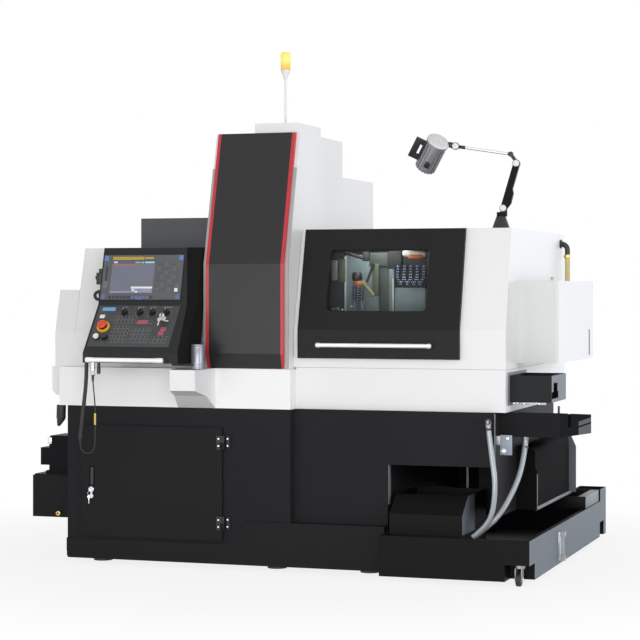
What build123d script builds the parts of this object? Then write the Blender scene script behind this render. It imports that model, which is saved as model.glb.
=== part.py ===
from build123d import *
import math
import os

os.makedirs("parts", exist_ok=True)

# Common sheet, clearance and cutting lengths, in millimetres
sheet = 4.0
heavy_sheet = 6.0
overrun = 2.0
flat_clearance = 0.3
running_fit = 0.05

# Base
base_length = 2050.0
base_depth = 1350.0
base_lift = 25.0
base_top = 742.0
left_base_length = 1113.0
right_base_setback = 50.0
tank_bay_length = 490.0
recess_drop = 242.0
side_wall_gap = 8.0
side_guard_reach = 88.0
side_guard_length = 800.0
side_guard_inset = 50.0
side_guard_height = 290.0
side_guard_round = 30.0
splash_plate_lap = 12.0
splash_plate_length = 280.0
splash_plate_height = 207.0
splash_plate_round = 42.0
gusset_reach = 115.0
gusset_drop = 102.0
gusset_taper = 140.0
gusset_top_reach = 50.0
door_hole_start = 96.0
door_hole_width = 670.0
door_hole_lift = 127.0
door_hole_height = 482.0

# Skirt
skirt_thickness = 8.0
skirt_overlap = 2.0
skirt_low_height = 93.0
skirt_step_height = 108.0
skirt_step_gap = 26.0
skirt_step_width = 98.0
skirt_fold = 58.0
skirt_fold_thickness = 5.0
skirt_corner_round = 14.0
skirt_screw_radius = 7.0
skirt_screw_height = 2.0
skirt_low_screw_inset = 122.0
skirt_low_screw_drop = 32.0
skirt_high_screw_inset = 36.0
skirt_high_screw_drop = 18.0

# Levelling feet
foot_end_inset = 120.0
foot_joint_inset = 113.0
foot_bay_inset = 110.0
foot_front_inset = 140.0
foot_back_inset = 120.0
foot_pad_radius = 45.0
foot_pad_height = 14.0
foot_stud_radius = 15.0

# Aprons, and the setback of the housings that stand on them
left_apron_overhang = 43.0
left_apron_height = 180.0
right_apron_overhang = 45.0
right_apron_height = 190.0
shell_setback = 78.0
shell_back_overhang = 50.0

# Column
column_joint_gap = 8.0
column_width = 413.0
column_lower_height = 483.0
column_upper_height = 610.0
column_lean = 165.0
column_back = 810.0
column_rear_drop = 175.0
column_rear_inset = 65.0
column_side_hole_drop = 6.0
plinth_inset = 15.0
plinth_length = 214.0
plinth_setback = 15.0
plinth_depth = 330.0
plinth_height = 48.0
cover_proud = 23.0
cover_inset = 17.0
cover_lift = 4.0
chin_height = 69.0
chin_back = 20.0
red_width = 15.0
strip_drop = 165.0
strip_thickness = 8.0

# Signal light
beacon_inset = 135.0
beacon_pole_radius = 6.0
beacon_pole_height = 215.0
beacon_flange_radius = 22.0
beacon_flange_height = 10.0
beacon_cone_height = 48.0
beacon_radius = 24.0
beacon_lens_height = 84.0
beacon_edge = 5.0

# Left enclosure
left_lower_height = 158.0
left_shell_lean = 117.0
left_upper_height = 406.0
end_box_reach = 102.0
end_lower_height = 165.0
end_box_lean = 55.0
end_upper_height = 199.0
end_foot_reach = 118.0
end_foot_lift = 44.0
end_foot_chamfer = 22.0
top_box_length = 510.0
top_box_setback = 255.0
top_box_inset = 100.0
top_box_height = 150.0

# Right enclosure and its door
shell_lower_height = 174.0
shell_lean = 120.0
shell_upper_height = 460.0
door_gap = 23.0
door_length = 760.0
door_lift = 43.0
door_thickness = 22.0
door_margin = 14.0
window_left_margin = 128.0
window_right_margin = 160.0
window_lift = 80.0
window_drop = 100.0
window_round = 20.0
glass_thickness = 5.0
glass_lap = 12.0
handle_left_inset = 108.0
handle_right_inset = 130.0
handle_lift = 61.0
handle_radius = 10.0
handle_standoff = 30.0
handle_foot_radius = 8.0
handle_foot_inset = 22.0
handle_edge = 4.0

# Box on the right side
side_box_reach = 193.0
side_box_setback = 92.0
side_box_gap = 152.0
side_box_lift = 23.0
side_box_height = 372.0
side_box_chamfer = 14.0
side_slot_inset = 98.0
side_slot_width = 8.0
side_slot_lift = 17.0
side_slot_height = 120.0

# Air hose on the right side
air_hose_inset = 100.0
air_hose_out = 36.0
air_hose_drop = 51.0
air_hose_lift = 78.0
air_hose_radius = 13.0
air_hose_bend = 30.0
air_flange_radius = 22.0
air_flange_height = 8.0

# Parts catcher box and chip tray
catcher_reach = 193.0
catcher_setback = 72.0
catcher_length = 320.0
catcher_lift = 44.0
catcher_height = 119.0
key_slot_inset = 55.0
key_slot_width = 34.0
key_slot_lift = 26.0
key_slot_height = 34.0
key_neck_width = 14.0
key_neck_height = 30.0
tray_reach = 275.0
tray_setback = 100.0
tray_length = 750.0
tray_drop = 1.0
tray_top_fall = 51.0
tray_front_height = 109.0
tray_back_height = 90.0
tray_notch_inset = 180.0
tray_notch_length = 90.0
tray_notch_depth = 26.0

# Lubricant tank and pump on the left side
lube_reach = 281.0
lube_front = 200.0
lube_length = 300.0
lube_lift = 161.0
lube_height = 207.0
lube_lid = 6.0
lube_lid_inset = 6.0
pump_end_inset = 63.0
pump_gap = 18.0
pump_setback = 50.0
pump_length = 150.0
pump_height = 184.0
pump_round = 14.0
pump_foot_height = 14.0
pump_foot_lap = 12.0
pump_box_end_inset = 5.0
pump_box_front_inset = 25.0
pump_box_back_inset = 30.0
pump_box_lift = 37.0
pump_box_height = 85.0
drain_radius = 10.0
drain_length = 9.0
drain_inset = 36.0
drain_lift = 16.0

# Bracket, post and arm of the operator panel
bracket_overlap = 56.0
bracket_front_width = 122.0
bracket_back_width = 185.0
bracket_reach = 255.0
bracket_knee_reach = 115.0
bracket_lift = 4.0
bracket_nose_height = 93.0
bracket_knee_height = 123.0
post_inset = 32.0
post_reach = 140.0
post_radius = 18.0
sleeve_radius = 26.0
sleeve_rise = 86.0
arm_run = 116.0
arm_width = 60.0
arm_thickness = 12.0

# Operator panel: a lip, a sloping board and a steeper screen face
panel_gap = 5.0
panel_length = 495.0
panel_reach = 245.0
panel_lift = 28.0
panel_lip_height = 45.0
board_run = 170.0
board_rise = 218.0
screen_run = 70.0
screen_rise = 266.0
panel_crown = 60.0
panel_foot = 205.0
panel_corner = 6.0
panel_wall = 5.0
panel_cable_hole = 12.0
screen_inset = 9.0
screen_width = 400.0
screen_low = 24.0
screen_height = 214.0
screen_thickness = 6.0
glass_left = 41.0
glass_right = 140.0
glass_low = 30.0
glass_high = 28.0
glass_recess = 2.0
bar_left_inset = 29.0
bar_right_inset = 83.0
bar_lift = 14.0
bar_radius = 8.0
bar_standoff = 34.0
bar_foot_radius = 6.0
bar_foot_inset = 16.0
bar_edge = 3.0

# Controls on the sloping board; their places are shares of its length and of its slope
knob_shares = (0.295, 0.4525, 0.576, 0.719)
knob_slope_share = 0.839
estop_shares = (0.127, 0.535)
white_shares = (0.093, 0.311)
black_shares = (0.174, 0.311)
key_shares = (0.709, 0.6945)
knob_radius = 14.0
knob_height = 16.0
knob_skirt_radius = 18.0
knob_skirt_height = 5.0
knob_grip_width = 7.0
knob_grip_height = 8.0
control_stem_radius = 5.0
control_stem_length = 10.0
stem_hole_depth = 12.0
estop_radius = 20.0
estop_head_height = 14.0
estop_travel = 6.0
estop_edge = 4.0
estop_collar_radius = 29.0
estop_collar_height = 8.0
button_radius = 13.0
button_height = 9.0
button_travel = 4.0
button_ring_radius = 16.0
button_ring_height = 4.0
key_plug_radius = 9.0
key_plug_height = 6.0
key_bow_radius = 11.0
key_bow_thickness = 3.0
key_bow_length = 26.0

# Hanging cable under the panel: a sleeve, a thin cable that loops back up, and its plug
cable_radius = 3.0
cable_sleeve_radius = 9.0
cable_plug_radius = 10.0
cable_plug_height = 62.0
cable_relief_radius = 5.0
cable_points = (
    (172.0, -225.0, 612.0), (170.0, -226.0, 560.0), (191.7, -225.0, 538.0), (222.3, -224.0, 538.0),
    (244.0, -225.0, 560.0), (245.5, -226.0, 616.0), (247.5, -225.0, 698.0), (243.0, -224.0, 784.0),
    (234.0, -225.0, 870.0),
)
sleeve_points = (
    (172.0, -225.0, 612.0), (190.0, -226.0, 770.0), (202.0, -225.0, 878.0), (202.0, -225.0, 954.0),
)

# Cabinet door, hinges, handle and lock
cab_left_lap = 18.0
cab_right_lap = 20.0
cab_height_lap = 18.0
cab_thickness = 16.0
cab_round = 4.0
hinge_low_inset = 80.0
hinge_high_inset = 67.0
hinge_half = 32.0
hinge_axis_gap = 8.0
hinge_axis_out = 22.0
hinge_radius = 6.0
hinge_pin_radius = 3.0
hinge_leaf = 34.0
hinge_leaf_thickness = 5.0
lever_inset = 55.0
lever_width = 15.0
lever_lift = 238.0
lever_length = 82.0
lever_thickness = 10.0
lever_pan_lap = 6.0
lever_pan_depth = 9.0
lock_drop = 22.0
lock_radius = 11.0
lock_proud = 5.0
lock_bow_radius = 10.0
lock_bow_drop = 30.0
lock_bow_thickness = 3.0
lock_stem = 8.0

# Work lamp
lamp_inset = 95.0
lamp_setback = 202.0
lamp_base_radius = 43.0
lamp_base_top_radius = 22.0
lamp_base_height = 58.0
lamp_swivel_radius = 9.0
lamp_swivel_depth = 30.0
lamp_fork_height = 20.0
lamp_fork_radius = 20.0
lamp_ear_thickness = 6.0
lamp_ear_gap = 18.0
lamp_ear_radius = 13.0
lamp_pin_radius = 5.0
lamp_shoulder_run = 13.0
lamp_shoulder_rise = 38.0
lamp_elbow_run = 61.0
lamp_elbow_rise = 205.0
lamp_knee_run = 32.0
lamp_knee_rise = 44.0
lamp_wrist_run = 255.0
lamp_wrist_rise = 41.0
lamp_boss_radius = 12.0
lamp_boss_width = 17.0
lamp_channel_width = 30.0
lamp_channel_shares = ((0.0, -0.5), (1.0, -0.5), (1.0, 0.5), (0.45, 0.5), (0.36, 0.82), (0.14, 0.9), (0.0, 0.5))
lamp_knuckle_radius = 8.0
lamp_upper_radius = 7.0
lamp_sleeve_radius = 8.0
lamp_sleeve_length = 38.0
lamp_elbow_side = 22.0
lamp_knob_radius = 11.0
lamp_knob_length = 12.0
lamp_cap_run = 75.0
lamp_cap_out = 40.0
lamp_cap_rise = 20.0
lamp_head_way_shares = (-0.52, 0.49, -0.70)
lamp_head_length = 160.0
lamp_head_radius = 46.0
lamp_head_wall = 5.0
lamp_head_solid = 36.0
lamp_cap_radius = 54.0
lamp_cap_thickness = 9.0
lamp_neck_radius = 9.0
lamp_rib_count = 18
lamp_rib_width = 8.0
lamp_rib_height = 4.0
lamp_grip_reach = 48.0
lamp_grip_height = 92.0
lamp_grip_radius = 6.0
lamp_grip_drop = 34.0

# Machine bed, headstock, spindle and tool slide
bed_inset = 100.0
bed_end_inset = 50.0
bed_back_inset = 200.0
bed_height = 158.0
bed_rail_width = 46.0
bed_rail_height = 22.0
rail_front_inset = 120.0
rail_back_inset = 340.0
upright_inset = 28.0
upright_end_inset = 45.0
upright_depth = 330.0
upright_drop = 60.0
head_length = 650.0
head_end_inset = 105.0
head_depth = 280.0
head_front_inset = 170.0
head_gap = 20.0
head_height = 390.0
head_chamfer = 40.0
spindle_lift = 230.0
spindle_radius = 60.0
spindle_tail = 20.0
spindle_nose = 120.0
collet_radius = 42.0
collet_length = 60.0
bar_bore_radius = 14.0
slide_length = 250.0
slide_plate = 28.0
slide_lift = 100.0
slide_height = 190.0
tool_block_length = 120.0
tool_block_reach = 100.0
tool_block_margin = 20.0
tool_count = 4
tool_pitch = 48.0
tool_inset = 24.0
tool_lift = 32.0
tool_size = 16.0
tool_reach = 40.0

# Coolant tank on castors
tank_gap = 8.0
tank_overhang = 196.0
tank_front_reach = 120.0
tank_back_reach = 390.0
tank_bottom = 22.0
tank_height = 180.0
tank_rim = 22.0
pocket = 110.0
pocket_height = 73.0
pocket_plate = 10.0
chip_box_length = 335.0
chip_box_inset = 90.0
chip_box_depth = 450.0
chip_box_lift = 88.0
chip_box_run = 110.0
chip_box_rise = 78.0
filter_length = 136.0
filter_depth = 160.0
filter_height = 60.0
gauge_inset = 655.0
gauge_lift = 14.0
gauge_height = 134.0
gauge_width = 26.0
gauge_proud = 26.0
gauge_block = 24.0
gauge_tube_radius = 7.0
castor_side_inset = 55.0
castor_bay_inset = 72.0
castor_front_inset = 55.0
castor_middle_gap = 100.0
castor_rear_inset = 120.0
wheel_radius = 30.0
wheel_width = 22.0
wheel_edge = 3.0
axle_radius = 5.0
axle_head = 3.0
fork_trail = 16.0
fork_leg = 4.0
fork_gap = 1.0
fork_disc_radius = 24.0
fork_disc_height = 17.0
fork_leg_width = 22.0
kingpin_radius = 6.0
kingpin_length = 8.0

# Clear drain hoses, each a route of corner points
drain_hose_radius = 12.0
fitting_radius = 14.0
fitting_drop = 36.0
bend_share = 0.45
base_hose_points = (
    (2030.0, 20.0, 690.0), (2046.0, 12.0, 560.0), (2066.0, 4.0, 440.0),
    (2058.0, 0.0, 310.0), (2020.0, 0.0, 238.0), (1966.0, -4.0, 196.0),
)
tray_hose_points = (
    (2162.0, 176.0, 600.0), (2158.0, 146.0, 500.0), (2122.0, 92.0, 384.0),
    (2072.0, 40.0, 284.0), (2012.0, 27.0, 230.0), (1970.0, 25.0, 196.0),
)

# Places that follow from the sizes: tank and base
partition_station = base_length - tank_bay_length
tank_station = partition_station + tank_gap
tank_end = base_length + tank_overhang
tank_front = -tank_front_reach
tank_back = base_depth + tank_back_reach
tank_top = tank_bottom + tank_height
pocket_roof = tank_bottom + pocket_height
chip_box_station = tank_station + tank_rim
chip_box_end = chip_box_station + chip_box_length
chip_box_front = tank_front + chip_box_inset
chip_box_back = chip_box_front + chip_box_depth
chip_box_low = tank_top + chip_box_lift
chip_box_slope_end = chip_box_front + chip_box_run
chip_box_high = chip_box_low + chip_box_rise
filter_station = tank_end - filter_length
filter_front = tank_back - filter_depth
filter_top = tank_top + filter_height
gauge_depth = tank_front + gauge_inset
gauge_bottom = tank_bottom + gauge_lift
gauge_top = gauge_bottom + gauge_height
castor_right = tank_end - castor_side_inset
castor_left = tank_station + castor_bay_inset
castor_rear = tank_back - castor_rear_inset
castor_spots = (
    (castor_right, tank_front + castor_front_inset),
    (castor_left, chip_box_back + castor_middle_gap),
    (castor_right, castor_rear),
    (castor_left, castor_rear),
)
fork_disc_bottom = pocket_roof - fork_disc_height
recess_top = base_top - recess_drop
side_wall_bottom = filter_top + side_wall_gap
side_guard_end = base_depth - side_guard_inset
side_guard_start = side_guard_end - side_guard_length
side_guard_top = side_wall_bottom + side_guard_height
splash_plate_end = base_length + side_guard_reach + splash_plate_lap
gusset_top = base_top - gusset_drop
gusset_knee = gusset_top - gusset_taper
foot_stations = (foot_end_inset, left_base_length - foot_joint_inset, partition_station - foot_bay_inset)
foot_rows = (foot_front_inset, base_depth - foot_back_inset)
fitting_height = base_top - fitting_drop

# Places of the cabinet door and the skirt
door_hole_end = door_hole_start + door_hole_width
door_hole_bottom = base_lift + door_hole_lift
door_hole_top = door_hole_bottom + door_hole_height
cab_station = door_hole_start - cab_left_lap
cab_end = door_hole_end + cab_right_lap
cab_bottom = door_hole_bottom - cab_height_lap
cab_top = door_hole_top + cab_height_lap
hinge_heights = (cab_bottom + hinge_low_inset, cab_top - hinge_high_inset)
lever_station = cab_station + lever_inset
lever_bottom = cab_bottom + lever_lift
lever_top = lever_bottom + lever_length
lock_height = lever_bottom - lock_drop
skirt_low_top = base_lift + skirt_low_height
skirt_high_top = skirt_low_top + skirt_step_height
skirt_step_start = cab_end + skirt_step_gap
skirt_step_end = skirt_step_start + skirt_step_width
skirt_screw_low = (skirt_step_start - skirt_low_screw_inset, skirt_low_top - skirt_low_screw_drop)
skirt_screw_high = (skirt_step_end + skirt_high_screw_inset, skirt_high_top - skirt_high_screw_drop)

# Places of the aprons, the column and the signal light
left_apron_top = base_top + left_apron_height
right_apron_end = base_length + right_apron_overhang
right_apron_top = base_top + right_apron_height
shell_back = base_depth + shell_back_overhang
column_station = left_base_length - column_joint_gap - column_width
column_end = column_station + column_width
column_knee = left_apron_top + column_lower_height
column_top = column_knee + column_upper_height
column_rear_top = column_top - column_rear_drop
column_rear_end = shell_back - column_rear_inset
plinth_front = column_lean + plinth_setback
cover_bottom = left_apron_top + cover_lift
strip_top = column_top - strip_drop
beacon_station = column_end - beacon_inset
beacon_depth = plinth_front + plinth_depth / 2
beacon_cone_bottom = column_top + plinth_height + beacon_pole_height
beacon_cone_top = beacon_cone_bottom + beacon_cone_height
beacon_top = beacon_cone_top + beacon_lens_height

# Places of the left and right housings and of the front door
left_shell_knee = left_apron_top + left_lower_height
left_shell_top = left_shell_knee + left_upper_height
column_side_hole_top = left_shell_top - column_side_hole_drop
end_box_knee = left_apron_top + end_lower_height
end_box_top = end_box_knee + end_upper_height
end_foot_bottom = base_top + end_foot_lift
top_box_station = column_station - top_box_length
top_box_front = shell_setback + left_shell_lean + top_box_setback
top_box_back = shell_back - top_box_inset
top_box_top = left_shell_top + top_box_height
shell_knee = right_apron_top + shell_lower_height
shell_top = shell_knee + shell_upper_height
door_station = column_end + door_gap
door_end = door_station + door_length
door_bottom = right_apron_top + door_lift
window_station = door_station + window_left_margin
window_end = door_end - window_right_margin
window_bottom = shell_knee + window_lift
window_top = shell_top - window_drop
handle_station = door_station + handle_left_inset
handle_end = door_end - handle_right_inset
handle_height = door_bottom + handle_lift

# Places of the boxes, the tray and the hose on the right side
side_box_front = shell_setback + shell_lean + side_box_setback
side_box_bottom = right_apron_top + side_box_lift
side_box_top = side_box_bottom + side_box_height
side_slot_bottom = side_box_bottom + side_slot_lift
side_slot_top = side_slot_bottom + side_slot_height
air_hose_depth = shell_back - air_hose_inset
side_box_back = air_hose_depth - side_box_gap
side_slot_depth = side_box_back - side_slot_inset
air_hose_top = shell_top - air_hose_drop
air_hose_bottom = right_apron_top + air_hose_lift
catcher_front = shell_setback + catcher_setback
catcher_back = catcher_front + catcher_length
catcher_bottom = base_top + catcher_lift
catcher_top = catcher_bottom + catcher_height
key_slot_front = catcher_front + key_slot_inset
key_slot_bottom = catcher_bottom + key_slot_lift
key_slot_top = key_slot_bottom + key_slot_height
key_neck_top = key_slot_top + key_neck_height
tray_front = right_base_setback + tray_setback
tray_back = tray_front + tray_length
tray_front_top = base_top - tray_drop
tray_back_top = tray_front_top - tray_top_fall
tray_front_bottom = tray_front_top - tray_front_height
tray_back_bottom = tray_back_top - tray_back_height
tray_notch_front = tray_front + tray_notch_inset
tray_notch_back = tray_notch_front + tray_notch_length

# Places of the lubricant tank and its pump
lube_back = lube_front + lube_length
lube_bottom = base_lift + lube_lift
lube_top = lube_bottom + lube_height
pump_reach = lube_reach - pump_end_inset
pump_front = lube_front + pump_setback
pump_back = pump_front + pump_length
pump_top = lube_top + pump_height
pump_box_reach = lube_reach - pump_box_end_inset
pump_box_front = pump_front + pump_box_front_inset
pump_box_back = pump_back - pump_box_back_inset
pump_box_bottom = lube_top + pump_box_lift
pump_box_top = pump_box_bottom + pump_box_height
drain_height = lube_bottom + drain_lift

# Places of the operator panel and its controls
bracket_top = left_apron_top + bracket_lift
bracket_end = column_station + bracket_overlap
bracket_front_station = bracket_end - bracket_front_width
bracket_back_station = bracket_end - bracket_back_width
post_station = bracket_end - post_inset
post_depth = -post_reach
arm_start = post_station - arm_run
panel_end = column_station - panel_gap
panel_station = panel_end - panel_length
panel_lip_front = -panel_reach
panel_bottom = bracket_top + panel_lift
sleeve_top = panel_bottom + sleeve_rise
panel_lip_top = panel_bottom + panel_lip_height
panel_knee_depth = panel_lip_front + board_run
panel_knee = panel_lip_top + board_rise
panel_top_depth = panel_knee_depth + screen_run
panel_top = panel_knee + screen_rise
panel_back_top = panel_top_depth + panel_crown
panel_back_bottom = panel_lip_front + panel_foot
screen_station = panel_station + screen_inset
bar_station = panel_station + bar_left_inset
bar_end = panel_end - bar_right_inset
bar_height = panel_bottom + bar_lift
board_length = math.hypot(board_run, board_rise)
screen_length = math.hypot(screen_run, screen_rise)
cable_plug_bottom = panel_bottom - cable_plug_height


def on_board(shares):
    """A control's place: its station, and its way up the slope."""
    return panel_station + panel_length * shares[0], board_length * shares[1]


knob_spots = [on_board((share, knob_slope_share)) for share in knob_shares]
estop_spot = on_board(estop_shares)
white_spot = on_board(white_shares)
black_spot = on_board(black_shares)
key_spot = on_board(key_shares)

# Places of the work lamp, each a station and a height
lamp_station = right_apron_end - lamp_inset
lamp_depth = shell_setback + shell_lean + lamp_setback
lamp_base_top = shell_top + lamp_base_height
lamp_shoulder = (lamp_station + lamp_shoulder_run, lamp_base_top + lamp_shoulder_rise)
lamp_elbow = (lamp_shoulder[0] + lamp_elbow_run, lamp_shoulder[1] + lamp_elbow_rise)
lamp_knee = (lamp_elbow[0] - lamp_knee_run, lamp_elbow[1] + lamp_knee_rise)
lamp_wrist = (lamp_knee[0] - lamp_wrist_run, lamp_knee[1] + lamp_wrist_rise)

# Places of the bed, the headstock, the spindle and the tool slide
bed_end = base_length - bed_end_inset
bed_back = base_depth - bed_back_inset
bed_top = base_top + bed_height
upright_front = bed_back - upright_depth
head_back = upright_front - head_gap
head_front = head_back - head_depth
bed_front = head_front - head_front_inset
bed_rail_fronts = (bed_front + rail_front_inset, bed_back - rail_back_inset)
upright_station = column_station + upright_inset
upright_end = column_end - upright_end_inset
upright_top = column_rear_top - upright_drop
head_end = column_end - head_end_inset
head_station = head_end - head_length
head_top = bed_top + head_height
spindle_height = bed_top + spindle_lift
spindle_depth = (head_front + head_back) / 2
spindle_start = head_station - spindle_tail
spindle_end = head_end + spindle_nose
collet_end = spindle_end + collet_length
slide_end = head_end + slide_length
slide_bottom = spindle_height + slide_lift
slide_top = slide_bottom + slide_height
tool_block_station = slide_end - tool_block_length
tool_block_front = spindle_depth - tool_block_reach
tool_block_bottom = slide_bottom + tool_block_margin
tool_block_top = slide_top - tool_block_margin
tool_first = tool_block_front + tool_inset
tool_height = tool_block_bottom + tool_lift

# Places along the length and the depth, measured from the base's left front corner
front_reach = bar_standoff + bar_radius - panel_lip_front
overall_length = lube_reach + base_length + tray_reach
overall_depth = front_reach + tank_back
base_left = lube_reach - overall_length / 2
base_front = front_reach - overall_depth / 2


def along(station):
    return base_left + station


def back(depth):
    return base_front + depth


def slab(x_span, y_span, z_span, mode=Mode.ADD):
    """A box between two stations, two depths and two heights."""
    with BuildSketch(Plane.XY.offset(z_span[0])) as outline:
        with Locations((along(sum(x_span) / 2), back(sum(y_span) / 2))):
            Rectangle(x_span[1] - x_span[0], y_span[1] - y_span[0])
    extrude(outline.sketch, amount=z_span[1] - z_span[0], mode=mode)


def side_prism(x_span, outline_points, mode=Mode.ADD):
    """A side outline of depths and heights, drawn out along the length."""
    with BuildSketch(Plane.YZ.offset(along(x_span[0]))) as outline:
        with BuildLine():
            Polyline(*[(back(depth), height) for depth, height in outline_points], close=True)
        make_face()
    extrude(outline.sketch, amount=x_span[1] - x_span[0], mode=mode)


def front_prism(y_span, outline_points, mode=Mode.ADD):
    """A front outline of stations and heights, drawn out along the depth."""
    with BuildSketch(Plane.XZ.offset(-back(y_span[0]))) as outline:
        with BuildLine():
            Polyline(*[(along(station), height) for station, height in outline_points], close=True)
        make_face()
    extrude(outline.sketch, amount=y_span[0] - y_span[1], mode=mode)


def disc(plane, radius, length, mode=Mode.ADD):
    """A cylinder that stands on a plane's origin."""
    with BuildSketch(plane) as outline:
        Circle(radius)
    extrude(outline.sketch, amount=length, mode=mode)


def cone(plane, radius, end_radius, length, mode=Mode.ADD):
    """A round taper that stands on a plane's origin."""
    with BuildSketch(plane) as outline:
        Circle(radius)
    with BuildSketch(plane.offset(length)) as end_outline:
        Circle(end_radius)
    loft([outline.sketch.face(), end_outline.sketch.face()], mode=mode)


def upright_plane(station, depth, height):
    return Plane(origin=(along(station), back(depth), height))


def forward_plane(station, depth, height):
    return Plane(origin=(along(station), back(depth), height), x_dir=(1, 0, 0), z_dir=(0, -1, 0))


def lengthwise_plane(station, depth, height):
    return Plane(origin=(along(station), back(depth), height), x_dir=(0, 1, 0), z_dir=(1, 0, 0))


def leaning(front, bottom, knee, lean, top, inset):
    """The front line of a leaning housing, moved in by a wall."""
    return ((front + inset, bottom), (front + inset, knee), (front + lean + inset, top - inset))


# Base cabinet with the electrical bay, the tank bay, the side guard and its splash plate
with BuildPart() as base_cabinet:
    slab((0, left_base_length), (0, base_depth), (base_lift, base_top))
    slab((left_base_length, base_length), (right_base_setback, base_depth), (base_lift, base_top))
    slab(
        (heavy_sheet, left_base_length - heavy_sheet),
        (heavy_sheet, base_depth - heavy_sheet),
        (base_lift + heavy_sheet, base_top - heavy_sheet),
        Mode.SUBTRACT,
    )
    slab(
        (left_base_length + heavy_sheet, partition_station - heavy_sheet),
        (right_base_setback + heavy_sheet, base_depth - heavy_sheet),
        (base_lift + heavy_sheet, base_top - heavy_sheet),
        Mode.SUBTRACT,
    )
    slab(
        (partition_station, base_length - heavy_sheet),
        (right_base_setback + heavy_sheet, base_depth - heavy_sheet),
        (base_lift - overrun, base_top - heavy_sheet),
        Mode.SUBTRACT,
    )
    slab(
        (partition_station, base_length + overrun),
        (right_base_setback - overrun, base_depth + overrun),
        (base_lift - overrun, side_wall_bottom),
        Mode.SUBTRACT,
    )
    slab(
        (partition_station, base_length - heavy_sheet),
        (right_base_setback - overrun, right_base_setback + heavy_sheet + overrun),
        (side_wall_bottom - overrun, recess_top),
        Mode.SUBTRACT,
    )
    slab(
        (door_hole_start, door_hole_end),
        (-overrun, heavy_sheet + overrun),
        (door_hole_bottom, door_hole_top),
        Mode.SUBTRACT,
    )
    slab(
        (base_length, base_length + side_guard_reach),
        (side_guard_start, side_guard_end),
        (side_wall_bottom, side_guard_top),
    )
    guard_edge = base_cabinet.edges().filter_by(Axis.Y).filter_by_position(
        Axis.X, along(base_length + side_guard_reach), along(base_length + side_guard_reach)
    )
    fillet(guard_edge.sort_by(Axis.Z)[-1], radius=side_guard_round)
    slab(
        (base_length - heavy_sheet - overrun, base_length + side_guard_reach - heavy_sheet),
        (side_guard_start + heavy_sheet, side_guard_end - heavy_sheet),
        (side_wall_bottom - overrun, side_guard_top - side_guard_round),
        Mode.SUBTRACT,
    )
    with BuildSketch(forward_plane(splash_plate_end, side_guard_start, side_wall_bottom)) as splash_plate:
        Rectangle(splash_plate_length, splash_plate_height, align=(Align.MAX, Align.MIN))
        fillet(splash_plate.vertices().sort_by(Axis.X)[-2:].sort_by(Axis.Y)[-1], radius=splash_plate_round)
    extrude(splash_plate.sketch, amount=heavy_sheet)
    front_prism(
        (base_depth - heavy_sheet, base_depth),
        (
            (base_length, side_wall_bottom),
            (base_length + gusset_reach, side_wall_bottom),
            (base_length + gusset_reach, gusset_knee),
            (base_length + gusset_top_reach, gusset_top),
            (base_length, gusset_top),
        ),
    )
    for height in hinge_heights:
        slab(
            (cab_end + hinge_axis_gap, cab_end + hinge_axis_gap + hinge_leaf),
            (-hinge_leaf_thickness, 0),
            (height - hinge_half, height + hinge_half),
        )
        slab(
            (cab_end + hinge_axis_gap - hinge_radius, cab_end + hinge_axis_gap + hinge_radius),
            (-hinge_axis_out, 0),
            (height - hinge_half, height - flat_clearance),
        )
        hinge_plane = upright_plane(cab_end + hinge_axis_gap, -hinge_axis_out, height - hinge_half)
        disc(hinge_plane, hinge_radius, hinge_half - flat_clearance)
        disc(hinge_plane, hinge_pin_radius, hinge_half + hinge_half)
base_cabinet.part.label = "base_cabinet"
export_step(base_cabinet.part, "parts/base_cabinet.step")

# Skirt along the foot of the base, stepped up on the right
with BuildPart() as base_skirt:
    front_prism(
        (-skirt_thickness, 0),
        (
            (-skirt_overlap, skirt_fold),
            (partition_station, skirt_fold),
            (partition_station, skirt_high_top),
            (skirt_step_end, skirt_high_top),
            (skirt_step_start, skirt_low_top),
            (-skirt_overlap, skirt_low_top),
        ),
    )
    slab((-skirt_overlap, partition_station), (-skirt_fold_thickness, 0), (base_lift, skirt_fold))
    slab(
        (left_base_length, partition_station),
        (0, right_base_setback),
        (skirt_high_top - skirt_thickness, skirt_high_top),
    )
    corner = base_skirt.edges().filter_by(Axis.Y).sort_by(Axis.X)[:2].sort_by(Axis.Z)[0]
    fillet(corner, radius=skirt_corner_round)
    for station, height in (skirt_screw_low, skirt_screw_high):
        disc(forward_plane(station, -skirt_thickness, height), skirt_screw_radius, skirt_screw_height)
base_skirt.part.label = "base_skirt"
export_step(base_skirt.part, "parts/base_skirt.step")

# Levelling feet under the left and middle of the base
with BuildPart() as levelling_feet:
    for station in foot_stations:
        for row in foot_rows:
            disc(upright_plane(station, row, 0), foot_pad_radius, foot_pad_height)
            disc(upright_plane(station, row, foot_pad_height), foot_stud_radius, base_lift - foot_pad_height)
levelling_feet.part.label = "levelling_feet"
export_step(levelling_feet.part, "parts/levelling_feet.step")

# Left apron, a hollow belt with a ledge on top
with BuildPart() as left_apron:
    slab((-left_apron_overhang, left_base_length), (0, shell_back), (base_top, left_apron_top))
    slab(
        (sheet - left_apron_overhang, left_base_length - sheet),
        (sheet, shell_back - sheet),
        (base_top - overrun, left_apron_top - sheet),
        Mode.SUBTRACT,
    )
    slab(
        (sheet, left_base_length + overrun),
        (shell_setback + sheet, shell_back - sheet),
        (base_top - overrun, left_apron_top + overrun),
        Mode.SUBTRACT,
    )
left_apron.part.label = "left_apron"
export_step(left_apron.part, "parts/left_apron.step")

# Right apron, a belt on the front, right and back
with BuildPart() as right_apron:
    slab((left_base_length, right_apron_end), (shell_setback, shell_back), (base_top, right_apron_top))
    slab(
        (left_base_length - overrun, right_apron_end - sheet),
        (shell_setback + sheet, shell_back - sheet),
        (base_top - overrun, right_apron_top + overrun),
        Mode.SUBTRACT,
    )
right_apron.part.label = "right_apron"
export_step(right_apron.part, "parts/right_apron.step")

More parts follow.
